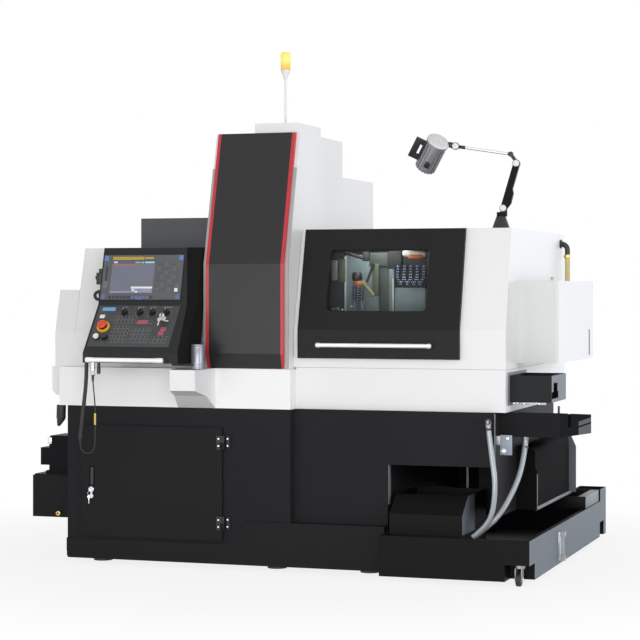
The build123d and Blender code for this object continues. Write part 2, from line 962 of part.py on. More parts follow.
# Column shell with the rear housing and the plinth
side_hole_front = shell_setback + shell_lean + sheet
inner_bottom = left_apron_top - overrun
with BuildPart() as column_shell:
    side_prism(
        (column_station, column_end),
        (
            *leaning(0, left_apron_top, column_knee, column_lean, column_top, 0),
            (column_back, column_top),
            (column_back, column_rear_top),
            (column_rear_end, column_rear_top),
            (column_rear_end, left_apron_top),
        ),
    )
    side_prism(
        (column_station + sheet, column_end - sheet),
        (
            *leaning(0, left_apron_top - overrun, column_knee, column_lean, column_top, sheet),
            (column_back - sheet, column_top - sheet),
            (column_back - sheet, column_rear_top - sheet),
            (column_rear_end - sheet, column_rear_top - sheet),
            (column_rear_end - sheet, left_apron_top - overrun),
        ),
        Mode.SUBTRACT,
    )
    slab(
        (column_station - overrun, column_end + overrun),
        (side_hole_front, column_rear_end - sheet),
        (inner_bottom, column_side_hole_top),
        Mode.SUBTRACT,
    )
    slab(
        (column_end - plinth_inset - plinth_length, column_end - plinth_inset),
        (plinth_front, plinth_front + plinth_depth),
        (column_top, column_top + plinth_height),
    )
column_shell.part.label = "column_shell"
export_step(column_shell.part, "parts/column_shell.step")

# Black front cover of the column, with its chin, and the trim on both edges
cover_line = (
    (0, cover_bottom),
    (chin_back - cover_proud, cover_bottom),
    (-cover_proud, cover_bottom + chin_height),
    (-cover_proud, column_knee),
    (column_lean - cover_proud, column_top),
    (column_lean, column_top),
    (0, column_knee),
)
cover_start = column_station + cover_inset
cover_end = column_end - cover_inset
with BuildPart() as column_cover:
    side_prism((cover_start + red_width, cover_end - red_width), cover_line)
column_cover.part.label = "column_cover"
export_step(column_cover.part, "parts/column_cover.step")

with BuildPart() as red_trim:
    side_prism((cover_start, cover_start + red_width), cover_line)
    side_prism((cover_end - red_width, cover_end), cover_line)
red_trim.part.label = "red_trim"
export_step(red_trim.part, "parts/red_trim.step")

strip_lean = column_lean * (strip_top - column_knee) / (column_top - column_knee)
strip_line = (
    (0, cover_bottom),
    (-strip_thickness, cover_bottom),
    (-strip_thickness, column_knee),
    (strip_lean - strip_thickness, strip_top),
    (strip_lean, strip_top),
    (0, column_knee),
)
with BuildPart() as side_strips:
    side_prism((column_station, cover_start), strip_line)
    side_prism((cover_end, column_end), strip_line)
side_strips.part.label = "side_strips"
export_step(side_strips.part, "parts/side_strips.step")

# Signal light on the plinth
plinth_top = column_top + plinth_height
with BuildPart() as beacon_pole:
    disc(upright_plane(beacon_station, beacon_depth, plinth_top), beacon_flange_radius, beacon_flange_height)
    disc(
        upright_plane(beacon_station, beacon_depth, plinth_top),
        beacon_pole_radius,
        beacon_cone_bottom - plinth_top,
    )
    cone(
        upright_plane(beacon_station, beacon_depth, beacon_cone_bottom),
        beacon_pole_radius,
        beacon_radius,
        beacon_cone_top - beacon_cone_bottom,
    )
beacon_pole.part.label = "beacon_pole"
export_step(beacon_pole.part, "parts/beacon_pole.step")

with BuildPart() as beacon_lens:
    lens_plane = upright_plane(beacon_station, beacon_depth, beacon_cone_top)
    disc(lens_plane, beacon_radius, beacon_top - beacon_cone_top)
    chamfer(beacon_lens.edges().group_by(Axis.Z)[-1], length=beacon_edge)
beacon_lens.part.label = "beacon_lens"
export_step(beacon_lens.part, "parts/beacon_lens.step")

# Left enclosure with the lower end box
with BuildPart() as left_enclosure:
    side_prism(
        (0, column_station),
        (
            *leaning(shell_setback, left_apron_top, left_shell_knee, left_shell_lean, left_shell_top, 0),
            (shell_back, left_shell_top),
            (shell_back, left_apron_top),
        ),
    )
    side_prism(
        (-end_box_reach, 0),
        (
            *leaning(shell_setback, left_apron_top, end_box_knee, end_box_lean, end_box_top, 0),
            (shell_back, end_box_top),
            (shell_back, left_apron_top),
        ),
    )
    front_prism(
        (shell_setback, shell_back),
        (
            (-end_foot_reach, left_apron_top),
            (-end_foot_reach, end_foot_bottom + end_foot_chamfer),
            (end_foot_chamfer - end_foot_reach, end_foot_bottom),
            (-left_apron_overhang, end_foot_bottom),
            (-left_apron_overhang, left_apron_top),
        ),
    )
    side_prism(
        (sheet, column_station - sheet),
        (
            *leaning(shell_setback, inner_bottom, left_shell_knee, left_shell_lean, left_shell_top, sheet),
            (shell_back - sheet, left_shell_top - sheet),
            (shell_back - sheet, inner_bottom),
        ),
        Mode.SUBTRACT,
    )
    slab(
        (column_station - sheet - overrun, column_station + overrun),
        (side_hole_front, column_rear_end - sheet),
        (inner_bottom, column_side_hole_top),
        Mode.SUBTRACT,
    )
    slab(
        (sheet - end_box_reach, sheet + overrun),
        (shell_setback + end_box_lean + sheet, shell_back - sheet),
        (left_apron_top + sheet, end_box_top - sheet),
        Mode.SUBTRACT,
    )
left_enclosure.part.label = "left_enclosure"
export_step(left_enclosure.part, "parts/left_enclosure.step")

# Dark box on the roof behind the panel
with BuildPart() as top_box:
    slab((top_box_station, column_station), (top_box_front, top_box_back), (left_shell_top, top_box_top))
    slab(
        (top_box_station + sheet, column_station - sheet),
        (top_box_front + sheet, top_box_back - sheet),
        (left_shell_top - overrun, top_box_top - sheet),
        Mode.SUBTRACT,
    )
top_box.part.label = "top_box"
export_step(top_box.part, "parts/top_box.step")

# Right enclosure with the door opening
with BuildPart() as right_enclosure:
    side_prism(
        (column_end, right_apron_end),
        (
            *leaning(shell_setback, right_apron_top, shell_knee, shell_lean, shell_top, 0),
            (shell_back, shell_top),
            (shell_back, right_apron_top),
        ),
    )
    side_prism(
        (column_end + sheet, right_apron_end - sheet),
        (
            *leaning(shell_setback, right_apron_top - overrun, shell_knee, shell_lean, shell_top, sheet),
            (shell_back - sheet, shell_top - sheet),
            (shell_back - sheet, right_apron_top - overrun),
        ),
        Mode.SUBTRACT,
    )
    slab(
        (column_end - overrun, column_end + sheet + overrun),
        (side_hole_front, column_rear_end - sheet),
        (right_apron_top - overrun, column_side_hole_top),
        Mode.SUBTRACT,
    )
    slab(
        (door_station + door_margin, door_end - door_margin),
        (shell_setback - overrun, shell_setback + shell_lean),
        (door_bottom + door_margin, shell_top - door_margin),
        Mode.SUBTRACT,
    )
right_enclosure.part.label = "right_enclosure"
export_step(right_enclosure.part, "parts/right_enclosure.step")

# Lift-up door: bent plate with a rounded window
door_back = shell_setback - flat_clearance
lean_angle = math.degrees(math.atan2(shell_lean, shell_top - shell_knee))
window_middle = (window_bottom + window_top) / 2
window_plane = Plane(
    origin=(
        (along(window_station) + along(window_end)) / 2,
        back(door_back + shell_lean * (window_middle - shell_knee) / (shell_top - shell_knee)),
        window_middle,
    ),
    x_dir=(1, 0, 0),
    z_dir=(0, -math.cos(math.radians(lean_angle)), math.sin(math.radians(lean_angle))),
)
window_width = window_end - window_station
window_height = (window_top - window_bottom) / math.cos(math.radians(lean_angle))
with BuildPart() as front_door:
    side_prism(
        (door_station, door_end),
        (
            (door_back, door_bottom),
            (door_back - door_thickness, door_bottom),
            (door_back - door_thickness, shell_knee),
            (door_back + shell_lean - door_thickness, shell_top),
            (door_back + shell_lean, shell_top),
            (door_back, shell_knee),
        ),
    )
    with BuildSketch(window_plane.offset(-overrun)):
        RectangleRounded(window_width, window_height, window_round)
    extrude(amount=door_thickness + door_thickness, mode=Mode.SUBTRACT)
front_door.part.label = "front_door"
export_step(front_door.part, "parts/front_door.step")

with BuildPart() as door_window:
    with BuildSketch(window_plane):
        RectangleRounded(window_width + glass_lap * 2, window_height + glass_lap * 2, window_round)
    extrude(amount=-glass_thickness)
door_window.part.label = "door_window"
export_step(door_window.part, "parts/door_window.step")

door_face = door_back - door_thickness
with BuildPart() as door_handle:
    disc(
        lengthwise_plane(handle_station, door_face - handle_standoff, handle_height),
        handle_radius,
        handle_end - handle_station,
    )
    chamfer(door_handle.edges().filter_by(GeomType.CIRCLE), length=handle_edge)
    for station in (handle_station + handle_foot_inset, handle_end - handle_foot_inset):
        disc(forward_plane(station, door_face, handle_height), handle_foot_radius, handle_standoff)
door_handle.part.label = "door_handle"
export_step(door_handle.part, "parts/door_handle.step")

# Box on the right side of the enclosure
side_box_end = right_apron_end + side_box_reach
with BuildPart() as side_box:
    slab((right_apron_end, side_box_end), (side_box_front, side_box_back), (side_box_bottom, side_box_top))
    front_edges = side_box.edges().filter_by(Axis.Z).sort_by(Axis.Y)[:2].sort_by(Axis.X)[-1]
    chamfer(front_edges, length=side_box_chamfer)
    slab(
        (right_apron_end - overrun, side_box_end - sheet),
        (side_box_front + side_box_chamfer, side_box_back - sheet),
        (side_box_bottom + sheet, side_box_top - sheet),
        Mode.SUBTRACT,
    )
    slab(
        (side_box_end - sheet - overrun, side_box_end + overrun),
        (side_slot_depth, side_slot_depth + side_slot_width),
        (side_slot_bottom, side_slot_top),
        Mode.SUBTRACT,
    )
side_box.part.label = "side_box"
export_step(side_box.part, "parts/side_box.step")

# Air hose held at both ends on the right side
hose_station = right_apron_end + air_hose_out
with BuildPart() as air_hose:
    with BuildLine():
        FilletPolyline(
            (along(right_apron_end), back(air_hose_depth), air_hose_top),
            (along(hose_station), back(air_hose_depth), air_hose_top),
            (along(hose_station), back(air_hose_depth), air_hose_bottom),
            (along(right_apron_end), back(air_hose_depth), air_hose_bottom),
            radius=air_hose_bend,
        )
    with BuildSketch(lengthwise_plane(right_apron_end, air_hose_depth, air_hose_top)):
        Circle(air_hose_radius)
    sweep()
    for height in (air_hose_top, air_hose_bottom):
        disc(lengthwise_plane(right_apron_end, air_hose_depth, height), air_flange_radius, air_flange_height)
air_hose.part.label = "air_hose"
export_step(air_hose.part, "parts/air_hose.step")

# Parts catcher box with its keyhole slot
catcher_end = right_apron_end + catcher_reach
with BuildPart() as catcher_box:
    slab((right_apron_end, catcher_end), (catcher_front, catcher_back), (catcher_bottom, catcher_top))
    slab(
        (right_apron_end + sheet, catcher_end - sheet),
        (catcher_front + sheet, catcher_back - sheet),
        (catcher_bottom + sheet, catcher_top + overrun),
        Mode.SUBTRACT,
    )
    slab(
        (catcher_end - sheet - overrun, catcher_end + overrun),
        (key_slot_front, key_slot_front + key_slot_width),
        (key_slot_bottom, key_slot_top),
        Mode.SUBTRACT,
    )
    slab(
        (catcher_end - sheet - overrun, catcher_end + overrun),
        (key_slot_front, key_slot_front + key_neck_width),
        (key_slot_bottom, key_neck_top),
        Mode.SUBTRACT,
    )
catcher_box.part.label = "catcher_box"
export_step(catcher_box.part, "parts/catcher_box.step")

# Chip tray that falls towards the back
tray_end = base_length + tray_reach
with BuildPart() as chip_tray:
    side_prism(
        (base_length, tray_end),
        (
            (tray_front, tray_front_bottom),
            (tray_front, tray_front_top),
            (tray_back, tray_back_top),
            (tray_back, tray_back_bottom),
        ),
    )
    side_prism(
        (base_length + sheet, tray_end - sheet),
        (
            (tray_front + sheet, tray_front_bottom + sheet),
            (tray_front + sheet, tray_front_top + overrun),
            (tray_back - sheet, tray_front_top + overrun),
            (tray_back - sheet, tray_back_bottom + sheet),
        ),
        Mode.SUBTRACT,
    )
    slab(
        (tray_end - sheet - overrun, tray_end + overrun),
        (tray_notch_front, tray_notch_back),
        (tray_back_top - tray_notch_depth, tray_front_top),
        Mode.SUBTRACT,
    )
chip_tray.part.label = "chip_tray"
export_step(chip_tray.part, "parts/chip_tray.step")

# Lubricant tank with its lid and drain plug
with BuildPart() as left_tank:
    slab((-lube_reach, 0), (lube_front, lube_back), (lube_bottom, lube_top - lube_lid))
    slab(
        (lube_lid_inset - lube_reach, -lube_lid_inset),
        (lube_front + lube_lid_inset, lube_back - lube_lid_inset),
        (lube_top - lube_lid, lube_top),
    )
    disc(forward_plane(-drain_inset, lube_front, drain_height), drain_radius, drain_length)
left_tank.part.label = "left_tank"
export_step(left_tank.part, "parts/left_tank.step")

# Pump motor on the lubricant tank
with BuildPart() as pump_motor:
    slab((-pump_reach, -pump_gap), (pump_front, pump_back), (lube_top, pump_top))
    fillet(pump_motor.edges().filter_by(Axis.Y).group_by(Axis.Z)[-1], radius=pump_round)
    slab(
        (-pump_reach - pump_foot_lap, pump_foot_lap - pump_gap),
        (pump_front - pump_foot_lap, pump_back + pump_foot_lap),
        (lube_top, lube_top + pump_foot_height),
    )
    slab((-pump_box_reach, -pump_reach), (pump_box_front, pump_box_back), (pump_box_bottom, pump_box_top))
pump_motor.part.label = "pump_motor"
export_step(pump_motor.part, "parts/pump_motor.step")

# Bracket block on the apron with the swivel post
with BuildPart() as pivot_bracket:
    side_prism(
        (bracket_back_station, bracket_end),
        (
            (0, base_top),
            (-bracket_knee_reach, bracket_top - bracket_knee_height),
            (-bracket_reach, bracket_top - bracket_nose_height),
            (-bracket_reach, bracket_top),
            (0, bracket_top),
        ),
    )
    with BuildSketch(Plane.XY.offset(base_top - overrun)) as flare:
        with BuildLine():
            Polyline(
                (along(bracket_back_station), back(0)),
                (along(bracket_front_station), back(-bracket_reach)),
                (along(bracket_front_station), back(-bracket_reach - overrun)),
                (along(bracket_back_station - overrun), back(-bracket_reach - overrun)),
                (along(bracket_back_station - overrun), back(0)),
                close=True,
            )
        make_face()
    extrude(flare.sketch, amount=bracket_top - base_top + overrun + overrun, mode=Mode.SUBTRACT)
    disc(upright_plane(post_station, post_depth, bracket_top), post_radius, sleeve_top - bracket_top)
pivot_bracket.part.label = "pivot_bracket"
export_step(pivot_bracket.part, "parts/pivot_bracket.step")

# Swivel sleeve and arm under the operator panel
with BuildPart() as panel_arm:
    disc(
        upright_plane(post_station, post_depth, bracket_top + flat_clearance),
        sleeve_radius,
        sleeve_top - bracket_top - flat_clearance,
    )
    slab(
        (arm_start, post_station),
        (post_depth - arm_width / 2, post_depth + arm_width / 2),
        (panel_bottom - arm_thickness, panel_bottom),
    )
    disc(
        upright_plane(post_station, post_depth, bracket_top),
        post_radius + running_fit,
        sleeve_top - bracket_top + overrun,
        Mode.SUBTRACT,
    )
panel_arm.part.label = "panel_arm"
export_step(panel_arm.part, "parts/panel_arm.step")

# Sloping board of the operator panel: its plane has the slope as its second axis
board_normal = (0, -board_rise / board_length, board_run / board_length)


def board_plane(station, slope, lift=0):
    share = slope / board_length
    depth = panel_lip_front + board_run * share
    return Plane(
        origin=(along(station), back(depth), panel_lip_top + board_rise * share),
        x_dir=(1, 0, 0),
        z_dir=board_normal,
    ).offset(lift)


screen_middle = (screen_low + screen_height / 2) / screen_length
screen_plane = Plane(
    origin=(
        along(screen_station + screen_width / 2),
        back(panel_knee_depth + screen_run * screen_middle),
        panel_knee + screen_rise * screen_middle,
    ),
    x_dir=(1, 0, 0),
    z_dir=(0, -screen_rise / screen_length, screen_run / screen_length),
)

# Panel housing: hollow console with the sloping board and the lip
panel_line = (
    (panel_lip_front, panel_bottom),
    (panel_lip_front, panel_lip_top),
    (panel_knee_depth, panel_knee),
    (panel_top_depth, panel_top),
    (panel_back_top, panel_top),
    (panel_back_bottom, panel_bottom),
)
with BuildPart() as panel_housing:
    side_prism((panel_station, panel_end), panel_line)
    top_edges = panel_housing.edges().filter_by(Axis.X).group_by(Axis.Z)[-1]
    fillet(top_edges.sort_by(Axis.Y)[0], radius=panel_corner)
    side_prism(
        (panel_station + panel_wall, panel_end - panel_wall),
        (
            (panel_lip_front + panel_wall, panel_bottom + panel_wall),
            (panel_lip_front + panel_wall, panel_lip_top - panel_wall),
            (panel_knee_depth + panel_wall, panel_knee - panel_wall),
            (panel_top_depth + panel_wall, panel_top - panel_wall),
            (panel_back_top - panel_wall, panel_top - panel_wall),
            (panel_back_bottom - panel_wall, panel_bottom + panel_wall),
        ),
        Mode.SUBTRACT,
    )
    disc(
        upright_plane(arm_start, panel_back_bottom - arm_width, panel_bottom - overrun),
        panel_cable_hole,
        panel_wall + overrun + overrun,
        Mode.SUBTRACT,
    )
    disc(board_plane(*estop_spot), estop_collar_radius, estop_collar_height)
    for spot in (white_spot, black_spot):
        disc(board_plane(*spot), button_ring_radius, button_ring_height)
    for spot in (estop_spot, white_spot, black_spot, key_spot, *knob_spots):
        disc(
            board_plane(*spot, -stem_hole_depth),
            control_stem_radius + flat_clearance,
            stem_hole_depth + estop_collar_height + overrun,
            Mode.SUBTRACT,
        )
panel_housing.part.label = "panel_housing"
export_step(panel_housing.part, "parts/panel_housing.step")

# Screen unit with the glass sunk into its bezel
with BuildPart() as panel_screen:
    with BuildSketch(screen_plane):
        Rectangle(screen_width, screen_height)
    extrude(amount=screen_thickness)
    with BuildSketch(screen_plane.offset(screen_thickness)):
        with Locations(((glass_left - glass_right) / 2, (glass_low - glass_high) / 2)):
            Rectangle(screen_width - glass_left - glass_right, screen_height - glass_low - glass_high)
    extrude(amount=-glass_recess, mode=Mode.SUBTRACT)
panel_screen.part.label = "panel_screen"
export_step(panel_screen.part, "parts/panel_screen.step")

# Grab bar on the lip of the panel
with BuildPart() as panel_handle:
    disc(
        lengthwise_plane(bar_station, panel_lip_front - bar_standoff, bar_height),
        bar_radius,
        bar_end - bar_station,
    )
    chamfer(panel_handle.edges().filter_by(GeomType.CIRCLE), length=bar_edge)
    for station in (bar_station + bar_foot_inset, bar_end - bar_foot_inset):
        disc(forward_plane(station, panel_lip_front, bar_height), bar_foot_radius, bar_standoff)
panel_handle.part.label = "panel_handle"
export_step(panel_handle.part, "parts/panel_handle.step")


def rotary_knob(spot):
    """A pointer knob with a skirt, a grip and a stem."""
    with BuildPart() as knob:
        disc(board_plane(*spot, flat_clearance), knob_skirt_radius, knob_skirt_height)
        disc(board_plane(*spot, flat_clearance), knob_radius, knob_height)
        with BuildSketch(board_plane(*spot, flat_clearance + knob_height)) as grip:
            Rectangle(knob_grip_width, knob_radius + knob_radius - knob_grip_width)
        extrude(grip.sketch, amount=knob_grip_height)
        disc(board_plane(*spot, flat_clearance), control_stem_radius, -control_stem_length)
    return knob.part


for number, spot in enumerate(knob_spots, start=1):
    knob_part = rotary_knob(spot)
    knob_part.label = f"knob_{number}"
    export_step(knob_part, f"parts/knob_{number}.step")

# Emergency stop with a mushroom head
with BuildPart() as estop_button:
    estop_lift = estop_collar_height + estop_travel + flat_clearance
    disc(board_plane(*estop_spot, estop_lift), estop_radius, estop_head_height)
    chamfer(estop_button.edges().filter_by(GeomType.CIRCLE), length=estop_edge)
    disc(
        board_plane(*estop_spot, -control_stem_length),
        control_stem_radius,
        control_stem_length + estop_lift,
    )
estop_button.part.label = "estop_button"
export_step(estop_button.part, "parts/estop_button.step")


def push_button(spot):
    """A round cap on a stem, standing off its ring by its travel."""
    lift = button_ring_height + button_travel + flat_clearance
    with BuildPart() as button:
        disc(board_plane(*spot, lift), button_radius, button_height)
        disc(board_plane(*spot, -control_stem_length), control_stem_radius, control_stem_length + lift)
    return button.part


white_button = push_button(white_spot)
white_button.label = "white_button"
export_step(white_button, "parts/white_button.step")

black_button = push_button(black_spot)
black_button.label = "black_button"
export_step(black_button, "parts/black_button.step")

# Key switch with its key in place
with BuildPart() as key_switch:
    disc(board_plane(*key_spot, flat_clearance), key_plug_radius, key_plug_height)
    disc(board_plane(*key_spot, flat_clearance), control_stem_radius, -control_stem_length)
    bow_plane = board_plane(*key_spot, flat_clearance + key_plug_height)
    with BuildSketch(bow_plane) as blade:
        Rectangle(key_bow_thickness, key_bow_radius)
    extrude(blade.sketch, amount=key_bow_length)
    with BuildSketch(
        Plane(
            origin=bow_plane.offset(key_bow_length).origin - bow_plane.x_dir * (key_bow_thickness / 2),
            x_dir=bow_plane.z_dir,
            z_dir=bow_plane.x_dir,
        )
    ) as bow:
        Circle(key_bow_radius)
    extrude(bow.sketch, amount=key_bow_thickness)
key_switch.part.label = "key_switch"
export_step(key_switch.part, "parts/key_switch.step")

# Cabinet door with the sunk pan of its lever
with BuildPart() as cabinet_door:
    slab((cab_station, cab_end), (-cab_thickness, 0), (cab_bottom, cab_top))
    fillet(cabinet_door.edges().filter_by(Axis.Y), radius=cab_round)
    slab(
        (lever_station - lever_width / 2 - lever_pan_lap, lever_station + lever_width / 2 + lever_pan_lap),
        (-cab_thickness - overrun, lever_pan_depth - cab_thickness),
        (lever_bottom - lever_pan_lap, lever_top + lever_pan_lap),
        Mode.SUBTRACT,
    )
    disc(
        forward_plane(lever_station, overrun, lock_height),
        lock_radius - lock_stem / 2 + flat_clearance,
        cab_thickness + overrun + overrun,
        Mode.SUBTRACT,
    )
cabinet_door.part.label = "cabinet_door"
export_step(cabinet_door.part, "parts/cabinet_door.step")

# Door leaves of the two hinges, with their screws
with BuildPart() as door_hinges:
    for height in hinge_heights:
        leaf_end = cab_end + hinge_axis_gap
        slab(
            (leaf_end - hinge_leaf, leaf_end),
            (-hinge_axis_out - hinge_leaf_thickness / 2, -cab_thickness),
            (height + flat_clearance, height + hinge_half),
        )
        slab(
            (leaf_end - hinge_leaf, cab_end - hinge_radius),
            (-cab_thickness - hinge_leaf_thickness, -cab_thickness),
            (height - hinge_half, height + hinge_half),
        )
        leaf_plane = upright_plane(leaf_end, -hinge_axis_out, height + flat_clearance)
        disc(leaf_plane, hinge_radius, hinge_half - flat_clearance)
        disc(leaf_plane, hinge_pin_radius + running_fit, hinge_half, Mode.SUBTRACT)
door_hinges.part.label = "door_hinges"
export_step(door_hinges.part, "parts/door_hinges.step")

# Lift lever in the pan of the cabinet door
with BuildPart() as cabinet_handle:
    slab(
        (lever_station - lever_width / 2, lever_station + lever_width / 2),
        (lever_pan_depth - cab_thickness - lever_thickness, lever_pan_depth - cab_thickness),
        (lever_bottom, lever_top),
    )
cabinet_handle.part.label = "cabinet_handle"
export_step(cabinet_handle.part, "parts/cabinet_handle.step")

# Lock plug with its key
with BuildPart() as lock_key:
    disc(forward_plane(lever_station, -cab_thickness - flat_clearance, lock_height), lock_radius, lock_proud)
    disc(
        forward_plane(lever_station, 0, lock_height),
        lock_radius - lock_stem / 2,
        cab_thickness + flat_clearance,
    )
    bow_front = -cab_thickness - lock_proud - lock_bow_thickness
    slab(
        (lever_station - lock_stem / 2, lever_station + lock_stem / 2),
        (bow_front, -cab_thickness - lock_proud),
        (lock_height - lock_bow_drop, lock_height),
    )
    disc(
        forward_plane(lever_station, bow_front + lock_bow_thickness, lock_height - lock_bow_drop),
        lock_bow_radius,
        lock_bow_thickness,
    )
lock_key.part.label = "lock_key"
export_step(lock_key.part, "parts/lock_key.step")


def tube(points, radius):
    """A cord along straight runs joined by tangent arcs; its bend radii are printed."""
    places = [Vector(along(point[0]), back(point[1]), point[2]) for point in points]
    radii = []
    for before, corner_point, after in zip(places, places[1:], places[2:]):
        run_in = corner_point - before
        run_out = after - corner_point
        half_turn = math.radians(run_in.get_angle(run_out)) / 2
        radii.append(bend_share * min(run_in.length, run_out.length) / math.tan(half_turn))
    with BuildLine() as route:
        FilletPolyline(*places, radius=radii)
    with BuildSketch(Plane(origin=places[0], z_dir=places[1] - places[0])) as section:
        Circle(radius)
    sweep(section.sketch, path=route.line)
    route_length = sum(edge.length for edge in route.line.edges())
    print("bend radii", [round(value, 1) for value in radii], "length", round(route_length, 1))


# Hanging cable: sleeve from the panel, thin cable, plug under the panel
with BuildPart() as pendant_cable:
    tube(sleeve_points, cable_sleeve_radius)
    tube(cable_points, cable_radius)
    plug_station, plug_depth, plug_low = cable_points[-1]
    disc(upright_plane(plug_station, plug_depth, plug_low), cable_relief_radius, cable_plug_bottom - plug_low)
    disc(
        upright_plane(plug_station, plug_depth, cable_plug_bottom),
        cable_plug_radius,
        panel_bottom - cable_plug_bottom,
    )
pendant_cable.part.label = "pendant_cable"
export_step(pendant_cable.part, "parts/pendant_cable.step")

# Clear drain hoses from the base and the tray down into the coolant tank
with BuildPart() as drain_hoses:
    tube(base_hose_points, drain_hose_radius)
    tube(tray_hose_points, drain_hose_radius)
    hose_station_0, hose_depth_0, hose_top_0 = base_hose_points[0]
    disc(upright_plane(hose_station_0, hose_depth_0, hose_top_0), fitting_radius, fitting_height - hose_top_0)
    disc(
        forward_plane(hose_station_0, right_base_setback, fitting_height),
        fitting_radius,
        right_base_setback - hose_depth_0 + fitting_radius,
    )
    hose_station_1, hose_depth_1, hose_top_1 = tray_hose_points[0]
    tray_fall = (tray_front_bottom - tray_back_bottom) / (tray_back - tray_front)
    tray_floor = tray_front_bottom - tray_fall * (hose_depth_1 + fitting_radius - tray_front)
    disc(upright_plane(hose_station_1, hose_depth_1, hose_top_1), fitting_radius, tray_floor - hose_top_1)
drain_hoses.part.label = "drain_hoses"
export_step(drain_hoses.part, "parts/drain_hoses.step")

# Work lamp: base, fork, channel arm and upper arm in one upright plane, and a tilted head
with BuildPart() as lamp_base:
    cone(
        upright_plane(lamp_station, lamp_depth, shell_top),
        lamp_base_radius,
        lamp_base_top_radius,
        lamp_base_height,
    )
    disc(
        upright_plane(lamp_station, lamp_depth, lamp_base_top - lamp_swivel_depth),
        lamp_swivel_radius + running_fit,
        lamp_swivel_depth + overrun,
        Mode.SUBTRACT,
    )
lamp_base.part.label = "lamp_base"
export_step(lamp_base.part, "parts/lamp_base.step")


def across(spot, y_start):
    """A plane at a lamp pivot, facing the back, moved along the depth."""
    return Plane(
        origin=(along(spot[0]), back(lamp_depth + y_start), spot[1]), x_dir=(1, 0, 0), z_dir=(0, 1, 0)
    )


def from_to(start, end, y_place):
    """A plane at the first spot, facing the second, and the way between them."""
    way = Vector(end[0] - start[0], 0, end[1] - start[1])
    plane = Plane(
        origin=(along(start[0]), back(lamp_depth + y_place), start[1]),
        x_dir=(0, 1, 0),
        z_dir=way.normalized(),
    )
    return plane, way.length


half_boss = lamp_boss_width / 2
half_gap = lamp_ear_gap / 2
with BuildPart() as lamp_fork:
    fork_bottom = lamp_base_top + flat_clearance
    disc(upright_plane(lamp_station, lamp_depth, fork_bottom), lamp_fork_radius, lamp_fork_height)
    disc(
        upright_plane(lamp_station, lamp_depth, fork_bottom),
        lamp_swivel_radius,
        flat_clearance + overrun - lamp_swivel_depth,
    )
    for side in (half_gap, -half_gap - lamp_ear_thickness):
        slab(
            (lamp_shoulder[0] - lamp_ear_radius, lamp_shoulder[0] + lamp_ear_radius),
            (lamp_depth + side, lamp_depth + side + lamp_ear_thickness),
            (fork_bottom, lamp_shoulder[1]),
        )
        disc(across(lamp_shoulder, side), lamp_ear_radius, lamp_ear_thickness)
    disc(
        across(lamp_shoulder, -half_gap - lamp_ear_thickness - lamp_knob_length),
        lamp_knob_radius,
        lamp_knob_length,
    )
    disc(across(lamp_shoulder, -half_gap), lamp_pin_radius, lamp_ear_gap)
lamp_fork.part.label = "lamp_fork"
export_step(lamp_fork.part, "parts/lamp_fork.step")

with BuildPart() as lamp_lower_arm:
    arm_plane, arm_length = from_to(lamp_shoulder, lamp_elbow, half_boss)
    with BuildSketch(Plane(origin=arm_plane.origin, x_dir=arm_plane.z_dir, z_dir=(0, -1, 0))) as channel:
        with BuildLine():
            Polyline(
                *[(arm_length * share, -lamp_channel_width * side) for share, side in lamp_channel_shares],
                close=True,
            )
        make_face()
    extrude(channel.sketch, amount=lamp_boss_width)
    disc(across(lamp_elbow, -half_boss), lamp_channel_width / 2, lamp_boss_width)
    disc(across(lamp_elbow, -half_boss - lamp_knob_length), lamp_knob_radius, lamp_knob_length)
    disc(across(lamp_elbow, half_boss), lamp_pin_radius, lamp_elbow_side)
    disc(
        across(lamp_shoulder, -half_boss - overrun),
        lamp_pin_radius + running_fit,
        lamp_boss_width + overrun + overrun,
        Mode.SUBTRACT,
    )
lamp_lower_arm.part.label = "lamp_lower_arm"
export_step(lamp_lower_arm.part, "parts/lamp_lower_arm.step")

upper_start = half_boss + flat_clearance
with BuildPart() as lamp_upper_arm:
    for spot in (lamp_elbow, lamp_knee, lamp_wrist):
        disc(across(spot, upper_start), lamp_boss_radius, lamp_boss_width)
    knuckle_plane, knuckle_length = from_to(lamp_elbow, lamp_knee, upper_start + half_boss)
    disc(knuckle_plane, lamp_knuckle_radius, knuckle_length)
    tube_plane, tube_length = from_to(lamp_wrist, lamp_knee, upper_start + half_boss)
    disc(tube_plane, lamp_upper_radius, tube_length)
    disc(tube_plane, lamp_sleeve_radius, lamp_sleeve_length)
    for spot in (lamp_elbow, lamp_wrist):
        disc(
            across(spot, upper_start - overrun),
            lamp_pin_radius + running_fit,
            lamp_boss_width + lamp_boss_width,
            Mode.SUBTRACT,
        )
lamp_upper_arm.part.label = "lamp_upper_arm"
export_step(lamp_upper_arm.part, "parts/lamp_upper_arm.step")

